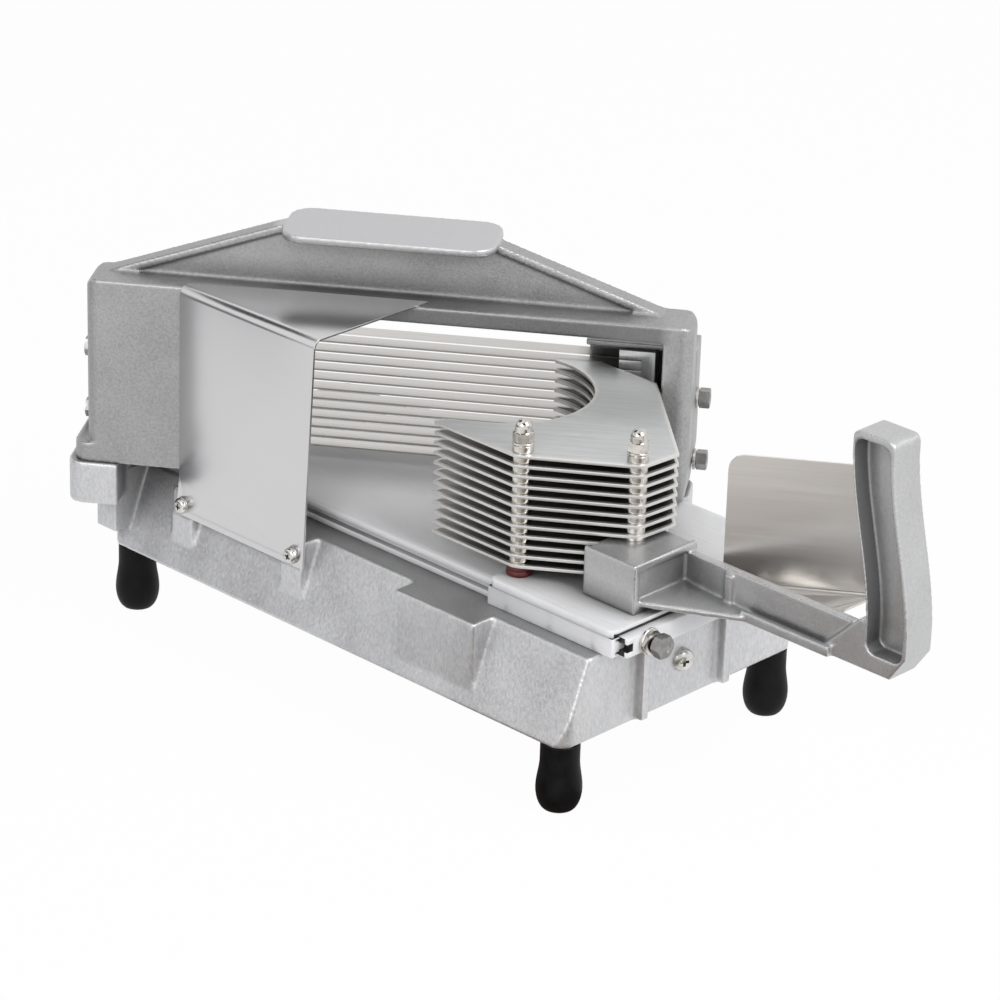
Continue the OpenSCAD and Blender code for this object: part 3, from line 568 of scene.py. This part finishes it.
# Stop bolt on the table's end, and the screw in the end wall
# A hex bolt with its lock nut and washer is screwed into the board's end and stops the pusher's return.
# The pan head screw below it closes a tapped hole in the casting. All are plated steel, the bolt duller than the rest.
sideways = (0, pi / 2, 0)
bolt_metal = plated_metal("dull plated bolt", (0.34, 0.335, 0.325, 1.0), 0.26, 0.2)
fit_copies("stop_bolt_turned", hex_screw(8, 13, 6.5, 29.5), [(spot_of(33.3, 43, 103), sideways)], bolt_metal,
           "plated_steel", "base", "stop_bolt")
nut = turned([(4.2, 0.4), (4.6, 0), (6.2, 0), (6.5, 0.0, -1), (6.5, 5.5, 1), (6.2, 5.5), (4.6, 5.5), (4.2, 5.1)], 72, True)
fit_copies("stop_nut_turned", nut, [(spot_of(27.8, 43, 103), (0.35, pi / 2, 0))], stud_metal,
           "plated_steel", "base", "stop_nut")
fit_copies("stop_washer_pressed", ring_washer(16, 8.4, 1.8), [(spot_of(26, 43, 103), sideways)], stud_metal,
           "plated_steel", "base", "stop_washer")
fit_copies("end_screw_turned", pan_screw(6, 14.5, 5.5, 11), [(spot_of(12, 89, 71), (0.5, pi / 2, 0))], stud_metal,
           "plated_steel", "base", "end_screw")

# Blade frame
# One aluminium casting that stands diagonally on the base: two columns, a lintel with a gable, a rounded pad on top
# and a housing behind each column. The pad is linished, and painted shade darkens the face of the lintel.
cut_angle = radians(35.5)


def across(u, v, z):
    """Point in metres from a place along and across the blades, in the source's millimetres."""
    return spot_of(u * cos(cut_angle) - v * sin(cut_angle), u * sin(cut_angle) + v * cos(cut_angle), z)


def in_line(t, spot):
    """Object coordinates turned so that X runs along the blades."""
    return put(t, "ShaderNodeMapping", {"Vector": spot, "Rotation": (0.0, 0.0, -cut_angle)}).outputs[0]


frame_metal = cast_metal("cast frame aluminium", (0.305, 0.305, 0.306, 1.0), (0.485, 0.485, 0.486, 1.0), 0.4, 0.56, 0.0004)
t, b, plain = repaint(frame_metal)
place = parts(t, in_line(t, put(t, "ShaderNodeTexCoord").outputs["Object"]))
linished = tint(t, ramp(t, place["Z"], 0.2665, 0.2685, 0.0, 0.7), plain, (0.64, 0.64, 0.655, 1.0))
# painted shade: a dark band across the lintel's face between the columns
span = calc(t, "MULTIPLY", ramp(t, place["X"], -0.222, -0.216), ramp(t, place["X"], 0.078, 0.07))
painted_lintel_shade = calc(t, "MULTIPLY", ramp(t, place["Z"], 0.2185, 0.2195), ramp(t, place["Z"], 0.231, 0.2285, 0.0, 0.6))
t.links.new(tint(t, calc(t, "MULTIPLY", span, painted_lintel_shade), linished, (0.11, 0.11, 0.11, 1.0)), b.inputs["Base Color"])
frame_skin = cast_skin("cast_frame", "blade_frame", frame_metal, 0.0011, 3, 0.6,
                       "base_casting", "slide_table", "blade_holder_right", "blade_holder_left")
fit("cast_frame", frame_skin, frame_metal, "cast_aluminium", "base", "blade_frame")
frame_bolts_at = [(across(u, v, 87.5), (pi, 0, 0.2)) for u, v in ((-313, 190.5), (39, 218.5), (39, 232))]
fit_copies("frame_bolts_turned", hex_screw(6, 10, 4.5, 36.5), frame_bolts_at, bolt_metal,
           "plated_steel", "base", "frame_bolts")

# Blade holders, blades and pins
# Two aluminium blocks, milled with one slot for each blade, hold thirteen thin steel blades by a pin through their ends.
# The blades are ground bright and honed along the front edge; painted shade darkens them towards the right and at their
# ends in the blocks.
milled, t, b, spot = shader("milled aluminium", Metallic=0.7)
g = used(t, streaks, Vector=spot, Stretch=(1500.0, 1500.0, 60.0))
wire(t, b, tint(t, g["Streak"], (0.62, 0.622, 0.626, 1.0), (0.74, 0.741, 0.744, 1.0)),
     ramp(t, g["Streak"], 0.0, 1.0, 0.28, 0.44), 0.2, 0.0001, g["Height"])
for end in ("right", "left"):
    block = crisp("blade_block_" + end, node_copy("blade_holder_" + end), 0.00025)
    fit("blade_block_" + end, block, milled, "machined_aluminium", "base", "blade_holder_" + end)

# one level repeated upwards
pitch = 0.00635
stack_tree, stack_keys, pin = tree_of("level stack", [("Count", "Int", 12), ("Step", "Vector", (0.0, 0.0, pitch))])
levels = put(stack_tree, "GeometryNodeMeshLine", {"Count": pin["Count"], "Offset": pin["Step"]}, mode="OFFSET").outputs[0]
copies = put(stack_tree, "GeometryNodeInstanceOnPoints", {"Points": levels, "Instance": pin["Geometry"]}).outputs[0]
close_tree(stack_tree, copies, pin["Finish"])


def stacked(name, mesh, count, finish):
    """One level's mesh repeated upwards at the blades' pitch."""
    mesh = worked(name, mesh, stack_tree, stack_keys, Count=count, Step=(0.0, 0.0, pitch), Finish=finish)
    return smooth(mesh, 30)


def lowest(node, height):
    """Only the lowest level of a CAD node that is a stack."""
    bm = node_copy(node)
    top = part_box(node)[0].z + height
    bmesh.ops.delete(bm, geom=[v for v in bm.verts if v.co.z > top], context="VERTS")
    return bm


blade_steel, t, b, spot = shader("ground blade steel", Metallic=0.9)
diagonal = in_line(t, spot)
g = used(t, streaks, Vector=diagonal, Stretch=(30.0, 2200.0, 2200.0))
along = parts(t, diagonal)["X"]
colour = tint(t, g["Streak"], (0.62, 0.6, 0.572, 1.0), (0.71, 0.695, 0.67, 1.0))
# painted shade: the blades darken towards their right-hand end
colour = tint(t, ramp(t, along, -0.12, 0.03, 0.0, 0.3), colour, (0.36, 0.34, 0.315, 1.0))
# painted shade: near black where the blade ends lie in the blocks
ends = calc(t, "MAXIMUM", ramp(t, along, 0.016, 0.034, 0.0, 0.85), ramp(t, along, -0.215, -0.235, 0.0, 0.85))
wire(t, b, tint(t, ends, colour, (0.09, 0.085, 0.078, 1.0)), ramp(t, g["Streak"], 0.0, 1.0, 0.26, 0.38),
     0.12, 0.00006, g["Height"])
one_blade = crisp("one_blade", lowest("blades", 0.002), 0.00004, 50, 1)
fit("blade_stack", stacked("blade_stack", one_blade, 13, blade_steel), blade_steel, "blade_steel", "base", "blades")
low, high = (corner.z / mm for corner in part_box("blade_pins"))
pin_rod = turned([(0, low), (1.2, low), (1.5, low + 0.3), (1.5, high - 0.3), (1.2, high), (0, high)], 24)
pins_at = [(across(u, 224, 0), (0, 0, 0)) for u in (8.5, -284.5)]
fit_copies("blade_pins_turned", pin_rod, pins_at, stud_metal, "plated_steel", "base", "blade_pins")

# Blade tension bolts and washers
# Two hex bolts of plated steel on each side of the frame, with a washer under each head.
# They pass through the columns into the blade blocks and pull the blades tight.
washer_t = 1.6
tension_at = [(across(u, 222, z), (0, way * pi / 2, cut_angle)) for u, way in ((48, 1), (-324, -1)) for z in (130, 171)]
fit_copies("tension_washers_pressed", ring_washer(13, 6.4, washer_t), tension_at, stud_metal,
           "plated_steel", "base", "tension_washers")
outward = Vector((cos(cut_angle), sin(cut_angle), 0)) * (washer_t * mm)
seated = [(p + (outward if angles[1] > 0 else -outward), angles) for p, angles in tension_at]
fit_copies("tension_bolts_turned", hex_screw(6, 11, 7, 34), seated, bolt_metal, "plated_steel", "base", "tension_bolts")

# Front guard
# A stainless sheet, cut, bent over once at the top and brushed, that covers the blades in front of the left column.
# Two pan head screws hold its lower edge to pads on the base, and its flange lies on the frame's shelf.


def brushed_sheet(name, stretch, dark, light, low, high, marks):
    """Brushed stainless sheet with a faint cloudy tone."""
    m, t, b, spot = shader(name, Metallic=0.95)
    g = used(t, streaks, Vector=spot, Stretch=stretch)
    cloud = ramp(t, noise(t, spot, 9.0, 2.0), 0.3, 0.8, 0.0, 0.2)
    wire(t, b, tint(t, cloud, tint(t, g["Streak"], dark, light), shade(dark, 0.85)),
         ramp(t, g["Streak"], 0.0, 1.0, low, high), marks, 0.00004, g["Height"])
    return m


guard_metal = brushed_sheet("brushed guard stainless", (24.0, 1500.0, 1500.0), (0.648, 0.639, 0.648, 1.0),
                            (0.656, 0.647, 0.655, 1.0), 0.22, 0.25, 0.006)
guard = crisp("front_guard_bent", node_copy("front_guard"), 0.0003, 40)
fit("front_guard_bent", guard, guard_metal, "stainless_sheet", "base", "front_guard")
guard_screws_at = [(spot_of(x, -6, 87.5), (pi / 2, 0.4 * k, 0)) for k, x in enumerate((-318, -219.5))]
fit_copies("guard_screws_turned", pan_screw(4.8, 10.4, 4.2, 13), guard_screws_at, stud_metal,
           "plated_steel", "base", "guard_screws")

# Sliding shoe and its guide strips
# A white plastic plate runs on the board. A strip under each side hooks into the board's groove with its tongue.
# Countersunk screws from below hold the strips to the plate.
shoe_plastic = white_board("white shoe plastic", 0.26, 0.36, 0.2, 0.75)
low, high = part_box("slide_shoe")
rebate_deep, rebate_high = 0.0009, 0.0024
rebate = bmesh.new()
rebate_box = Matrix.Diagonal((2 * rebate_deep, high.y - low.y + 0.01, 2 * rebate_high, 1))
rebate_at = Matrix.Translation((high.x, (low.y + high.y) / 2, low.z))
bmesh.ops.create_cube(rebate, size=1.0, matrix=rebate_at @ rebate_box)
plate = gridded(crisp("shoe_plate", carved(node_copy("slide_shoe"), rebate), 0.0005), 0.005)
plate = sheltered("shoe_plate", plate, shoe_plastic, "short_plates", "pusher_casting")
plate = mark_recess(plate, 0.004, low.x, "slide_table", "front_gib", "rear_gib")
fit("shoe_plate", plate, shoe_plastic, "white_plastic", "pusher", "slide_shoe")
for strip in ("front_gib", "rear_gib"):
    bar = mark_recess(crisp(strip + "_strip", node_copy(strip), 0.0004), 0.005, low.x, "slide_table", "slide_shoe")
    fit(strip + "_strip", bar, shoe_plastic, "white_plastic", "pusher", strip)
gib_screws_at = [(spot_of(x, y, 100.3), (0, 0, 0)) for x in (-64, -29.5, 5) for y in (21.6, 182.4)]
small_screw = turned([(0, -1.7), (0.9, -1.7), (1.05, -2.3), (2.3, -2.4), (2.5, -2.2), (2.5, -0.2), (2.3, 0), (1.5, 0),
                      (1.5, 10.9), (1.2, 11.2), (0, 11.2)], 32)
fit_copies("gib_screws_turned", small_screw, gib_screws_at, stud_metal, "plated_steel", "pusher", "gib_screws")

# Pusher casting
# Block, gusset, arm and upright grip are one aluminium casting, tumbled smoother than the base because the hand holds it.
# Two countersunk screws from below fasten its block to the shoe.
pusher_metal = cast_metal("cast pusher aluminium", (0.47, 0.471, 0.475, 1.0), (0.6, 0.602, 0.606, 1.0), 0.32, 0.46, 0.00025)
pusher_skin = cast_skin("cast_pusher", "pusher_casting", pusher_metal, 0.00075, 7, 0.8,
                        "slide_shoe", "hand_guard", "short_plates")
fit("cast_pusher", pusher_skin, pusher_metal, "cast_aluminium", "pusher", "pusher_casting")
sunk_screw = turned([(0, 0.9), (1.3, 0.4), (1.5, 0), (4.3, 0), (4.5, 0.15), (2.5, 2.1), (2.5, 14.5), (2.0, 15), (0, 15)], 32)
sunk_at = [(spot_of(3, y, 109.1), (0, 0, 0)) for y in (54, 86)]
fit_copies("block_screws_turned", sunk_screw, sunk_at, stud_metal, "plated_steel", "pusher", "block_screws")

# Pusher plates on their posts
# Twelve aluminium plates with a round tomato pocket, bright at their deburred cut edges, which also carry a painted
# highlight, and darkened inside the stack by painted shade, stand on two posts with a bright spacer under each one. The
# four lowest stop short at the block.
# A dark red rubber ring cushions the first post, and cap nuts close both.
first_z, stack_top = 0.1225, 0.19235
plate_metal, t, b, spot = shader("satin plate aluminium", Metallic=0.85)
diagonal = in_line(t, spot)
g = used(t, streaks, Vector=diagonal, Stretch=(45.0, 1400.0, 1400.0))
# painted shade inside the stack, lighter towards the open tips of the plates
painted_stack_shade = tint(t, ramp(t, parts(t, diagonal)["X"], -0.04, 0.005), (0.33, 0.31, 0.285, 1.0), (0.09, 0.082, 0.074, 1.0))
colour = tint(t, g["Streak"], (0.6, 0.604, 0.606, 1.0), (0.72, 0.724, 0.726, 1.0))
colour = tint(t, mark(t, "inner"), colour, painted_stack_shade)
# rim band: deburred bright edge with a painted highlight
wire(t, b, tint(t, mark(t, "rim"), colour, (0.71, 0.705, 0.69, 1.0)), ramp(t, g["Streak"], 0.0, 1.0, 0.34, 0.48),
     0.12, 0.00008, g["Height"])
for node, count in (("short_plates", 4), ("pusher_plates", 8)):
    one_plate = crisp("one_plate", lowest(node, 0.0035), 0.0002, 40)
    bm = bmesh.new()
    bm.from_mesh(one_plate)
    rim = bm.faces.layers.float.new("rim")
    flats = [f for f in bm.faces if abs(f.normal.z) > 0.999]
    sides = [f for f in bm.faces if abs(f.normal.z) <= 0.999]
    for f in sides + bmesh.ops.inset_region(bm, faces=flats, thickness=0.0021, use_even_offset=False)["faces"]:
        f[rim] = 1.0
    bm.to_mesh(one_plate)
    bm.free()
    plates = stacked(node + "_cut", one_plate, count, plate_metal)
    inner = [0.0 if f.normal.z > 0.9 and f.center.z > stack_top - 0.00035 else 1.0 for f in plates.polygons]
    plates.attributes.new("inner", "FLOAT", "FACE").data.foreach_set("value", inner)
    fit(node + "_cut", plates, plate_metal, "plate_aluminium", "pusher", node)


def mesh_at(name, bm, place=(0, 0, 0)):
    """Mesh of a solid moved to its place."""
    bmesh.ops.translate(bm, vec=place, verts=bm.verts[:])
    mesh = bpy.data.meshes.new(name)
    bm.to_mesh(mesh)
    bm.free()
    return mesh


def merged(name, meshes):
    """Several meshes as one."""
    bm = bmesh.new()
    for mesh in meshes:
        bm.from_mesh(mesh)
    return smooth(mesh_at(name, bm), 35)


def spacer(h):
    """Spacer ring of a height in mm with broken edges."""
    return turned([(3.4, 0.3), (3.7, 0), (6.0, 0), (6.35, 0.35), (6.35, h - 0.35), (6.0, h), (3.7, h), (3.4, h - 0.3)],
                  40, True)


def rod(low, high):
    """Threaded post between two heights in mm."""
    r, tip = 3.175, 2.6
    return turned([(0, low), (tip, low), (r, low + 0.6), (r, high - 0.6), (tip, high), (0, high)], 32)


posts = [across(-37, 71.4, 0), across(30, 71.4, 0)]
spacer_metal = plated_metal("bright spacer steel", (0.72, 0.69, 0.64, 1.0), 0.12, 0.1)
rings = []
for p, first, count in ((posts[0], 0, 12), (posts[1], 4, 8)):
    one = mesh_at("one_spacer", spacer(4.35), p + Vector((0, 0, first_z + first * pitch)))
    rings.append(stacked("spacers", one, count, spacer_metal))
rings.append(mesh_at("foot_spacer", spacer(2.65), posts[1] + Vector((0, 0, 0.1432))))
fit("spacer_rings", merged("spacer_rings", rings), spacer_metal, "plated_steel", "pusher", "plate_spacers")
rods = [mesh_at("rod", rod(low, stack_top / mm + 17), p) for p, low in zip(posts, (111.2, 129.3))]
fit("post_rods", merged("post_rods", rods), stud_metal, "plated_steel", "pusher", "pusher_posts")
washers_at = [(p + Vector((0, 0, 0.197)), (0, 0, 0)) for p in posts]
fit_copies("post_washers_pressed", ring_washer(13, 6.75, 1.4), washers_at, stud_metal,
           "plated_steel", "pusher", "post_washers")

chrome = plated_metal("polished cap nut", (0.7, 0.67, 0.62, 1.0), 0.04, 0.03)
cap_r = 5.0
cap_nut = [(0, 11.5), (3.4, 11.5), (3.4, 0.3), (3.7, 0), (5.4, 0), (5.55, 0.02, -1), (5.55, 6.0, 1), (5.2, 6.05),
           (cap_r, 6.3), (cap_r, 8.8)]
cap_nut += [(cap_r * cos(radians(a)), 9 + cap_r * sin(radians(a))) for a in (8, 18, 28, 38, 48, 58, 68, 78, 85)]
cap_nut += [(0, 14.0)]
nuts_at = [(p + Vector((0, 0, 0.1984)), (0, 0, a)) for p, a in zip(posts, (0.25, 0.6))]
fit_copies("cap_nuts_polished", turned(cap_nut, 72), nuts_at, chrome, "bright_nut", "pusher", "acorn_nuts", 28)

red, t, b, spot = shader("dark red rubber")
bloom = noise(t, spot, 300.0, 4.0)
wire(t, b, tint(t, ramp(t, bloom, 0.3, 0.7), (0.05, 0.004, 0.005, 1.0), (0.13, 0.01, 0.012, 1.0)),
     ramp(t, bloom, 0.3, 0.7, 0.4, 0.6), 0.3, 0.0001, bloom)
ring = turned([(3.4, 0.5), (3.9, 0), (7.0, 0), (7.8, 0.6), (8.0, 1.7), (7.8, 2.8), (7.1, 3.4), (7.1, 3.6), (7.8, 4.2),
               (8.0, 5.3), (7.8, 6.1), (7.0, 6.7), (3.9, 6.7), (3.4, 6.2)], 48, True)
ring_at = [(posts[0] + Vector((0, 0, 0.1138)), (0, 0, 0))]
fit_copies("rubber_ring", ring, ring_at, red, "red_rubber", "pusher", "post_bumper", 50)

# Hand guard
# A stainless sheet with rounded upper corners stands behind the arm and keeps the fingers off the blades.
# Its folded foot is held on the arm's ledge by two pan head screws. A painted reflection darkens it to brown towards
# its foot.
hand_metal = brushed_sheet("brushed hand guard stainless", (12.0, 12.0, 700.0), (0.83, 0.81, 0.79, 1.0),
                           (0.86, 0.845, 0.825, 1.0), 0.28, 0.35, 0.02)
t, b, plain = repaint(hand_metal)
# painted reflection: darker and browner towards the foot
height = parts(t, put(t, "ShaderNodeTexCoord").outputs["Object"])["Z"]
t.links.new(tint(t, ramp(t, height, 0.19, 0.145, 0.0, 0.55), plain, (0.46, 0.435, 0.41, 1.0)), b.inputs["Base Color"])
sheet = crisp("hand_guard_bent", node_copy("hand_guard"), 0.0003, 40)
fit("hand_guard_bent", sheet, hand_metal, "stainless_sheet", "pusher", "hand_guard")
hand_screws_at = [(spot_of(x, 102, 123.5), (0, 0, 0.3)) for x in (56, 92)]
fit_copies("hand_guard_screws_turned", pan_screw(4, 7.5, 3, 8), hand_screws_at, stud_metal,
           "plated_steel", "pusher", "hand_guard_screws")

# Studio
# A pale floor and a white surround, one large soft lamp from the right and a weak one from the front.
# A brown card lies in front and dark ones stand around, seen only in reflections, so that bright metal has contrast.


def bare(owner):
    """Emptied node tree of a material or a world."""
    owner.use_nodes = True
    owner.node_tree.nodes.clear()
    return owner.node_tree


def backdrop_rays(t):
    """1 for rays that see the backdrop itself: from the camera, off metal or through glass."""
    seen = put(t, "ShaderNodeLightPath").outputs
    direct = calc(t, "MAXIMUM", seen["Is Camera Ray"], seen["Is Glossy Ray"])
    return calc(t, "MAXIMUM", direct, seen["Is Transmission Ray"])


white = (1.0, 1.0, 1.0, 1.0)
floor_bm = bmesh.new()
bmesh.ops.create_grid(floor_bm, x_segments=1, y_segments=1, size=14.0, matrix=Matrix.Translation((0, 0, -0.0002)))
floor = shown("studio_floor", floor_bm)
pale = bpy.data.materials.new("pale floor")
t = bare(pale)
lit = put(t, "ShaderNodeBsdfDiffuse", {"Color": (0.86, 0.86, 0.87, 1.0)}).outputs[0]
glow = put(t, "ShaderNodeEmission", {"Color": white, "Strength": 1.0}).outputs[0]
share = calc(t, "MULTIPLY", backdrop_rays(t), 0.97)
put(t, "ShaderNodeOutputMaterial", {"Surface": put(t, "ShaderNodeMixShader", {0: share, 1: lit, 2: glow}).outputs[0]})
floor.data.materials.append(pale)


def card(name, centre, towards, size, tone, far_tone=None):
    """Flat card that only reflections see, shaded from one tone to another with the distance in front of the slicer."""
    turn = (Vector(towards) - Vector(centre)).to_track_quat("Z", "Y").to_matrix().to_4x4()
    place = Matrix.Translation(centre) @ turn @ Matrix.Diagonal((*size, 1, 1))
    bm = bmesh.new()
    bmesh.ops.create_grid(bm, x_segments=1, y_segments=1, size=0.5, matrix=place)
    o = shown(name, bm)
    m = bpy.data.materials.new(name)
    t = bare(m)
    ahead = parts(t, put(t, "ShaderNodeTexCoord").outputs["Object"])["Y"]
    colour = tint(t, ramp(t, ahead, -0.24, -0.5), tone, far_tone or tone)
    glow = put(t, "ShaderNodeEmission", {"Color": colour, "Strength": 1.0}).outputs[0]
    put(t, "ShaderNodeOutputMaterial", {"Surface": glow})
    o.data.materials.append(m)
    o.visible_camera = o.visible_diffuse = o.visible_shadow = o.visible_transmission = False


black, dark_grey, mid_grey = (0.02, 0.02, 0.025, 1.0), (0.16, 0.16, 0.17, 1.0), (0.3, 0.3, 0.31, 1.0)
card("brown_card", (0.3, -0.36, 0.002), (0.3, -0.36, 1.0), (0.6, 0.6), (0.22, 0.18, 0.15, 1.0), (0.9, 0.89, 0.87, 1.0))
card("dark_top_card", (-1.26, -0.33, 1.57), (-0.13, -0.09, 0.19), (1.1, 1.2), black)
card("dark_side_card", (-1.35, -1.68, 0.16), (0, 0, 0.16), (2.4, 0.2), black)
card("dark_front_card", (1.0, -1.05, 1.7), (0, 0, 0.15), (2.2, 1.0), black)
card("dark_left_card", (-0.7, -0.62, 0.12), (-0.25, -0.13, 0.06), (0.56, 0.3), dark_grey)
card("grey_floor_card", (-0.05, -0.19, 0.0015), (-0.05, -0.19, 1.0), (0.14, 0.11), mid_grey)

world = bpy.data.worlds.new("surround")
bpy.context.scene.world = world
t = bare(world)
dim = put(t, "ShaderNodeBackground", {"Color": (0.97, 0.98, 1.0, 1.0), "Strength": 0.42}).outputs[0]
clear = put(t, "ShaderNodeBackground", {"Color": white, "Strength": 1.0}).outputs[0]
either = put(t, "ShaderNodeMixShader", {0: backdrop_rays(t), 1: dim, 2: clear}).outputs[0]
put(t, "ShaderNodeOutputWorld", {"Surface": either})


def lamp(name, place, aim, size, power):
    """Soft square lamp."""
    data = bpy.data.lights.new(name, "AREA")
    data.shape, data.size, data.energy = "SQUARE", size, power
    o = bpy.data.objects.new(name, data)
    bpy.context.scene.collection.objects.link(o)
    o.location = place
    o.rotation_euler = (Vector(place) - Vector(aim)).to_track_quat("Z", "Y").to_euler()


lamp("key_lamp", (1.6, 0.2, 1.6), (0, 0, 0.1), 1.3, 28)
lamp("fill_lamp", (0.5, -1.8, 1.3), (0.1, 0, 0.1), 1.2, 14)

# camera set up from the photograph's own perspective, with its focal length in picture widths
azimuth, elevation, roll, focal = radians(43.453), radians(24.261), radians(1.80), 4.4095
eye = (1.64263, -1.75705, 1.214)
back = Vector((sin(azimuth) * cos(elevation), -cos(azimuth) * cos(elevation), sin(elevation)))
level = Vector((cos(azimuth), sin(azimuth), 0))
upright = back.cross(level)
right, up = cos(roll) * level + sin(roll) * upright, cos(roll) * upright - sin(roll) * level
data = bpy.data.cameras.new("camera")
data.sensor_fit, data.sensor_width, data.lens = "HORIZONTAL", 36.0, 36.0 * focal
data.clip_start, data.clip_end = 0.05, 60.0
camera = bpy.data.objects.new("camera", data)
bpy.context.scene.collection.objects.link(camera)
camera.matrix_world = Matrix.Translation(eye) @ Matrix((right, up, back)).transposed().to_4x4()
bpy.context.scene.camera = camera
bpy.context.scene.view_settings.view_transform = "Standard"
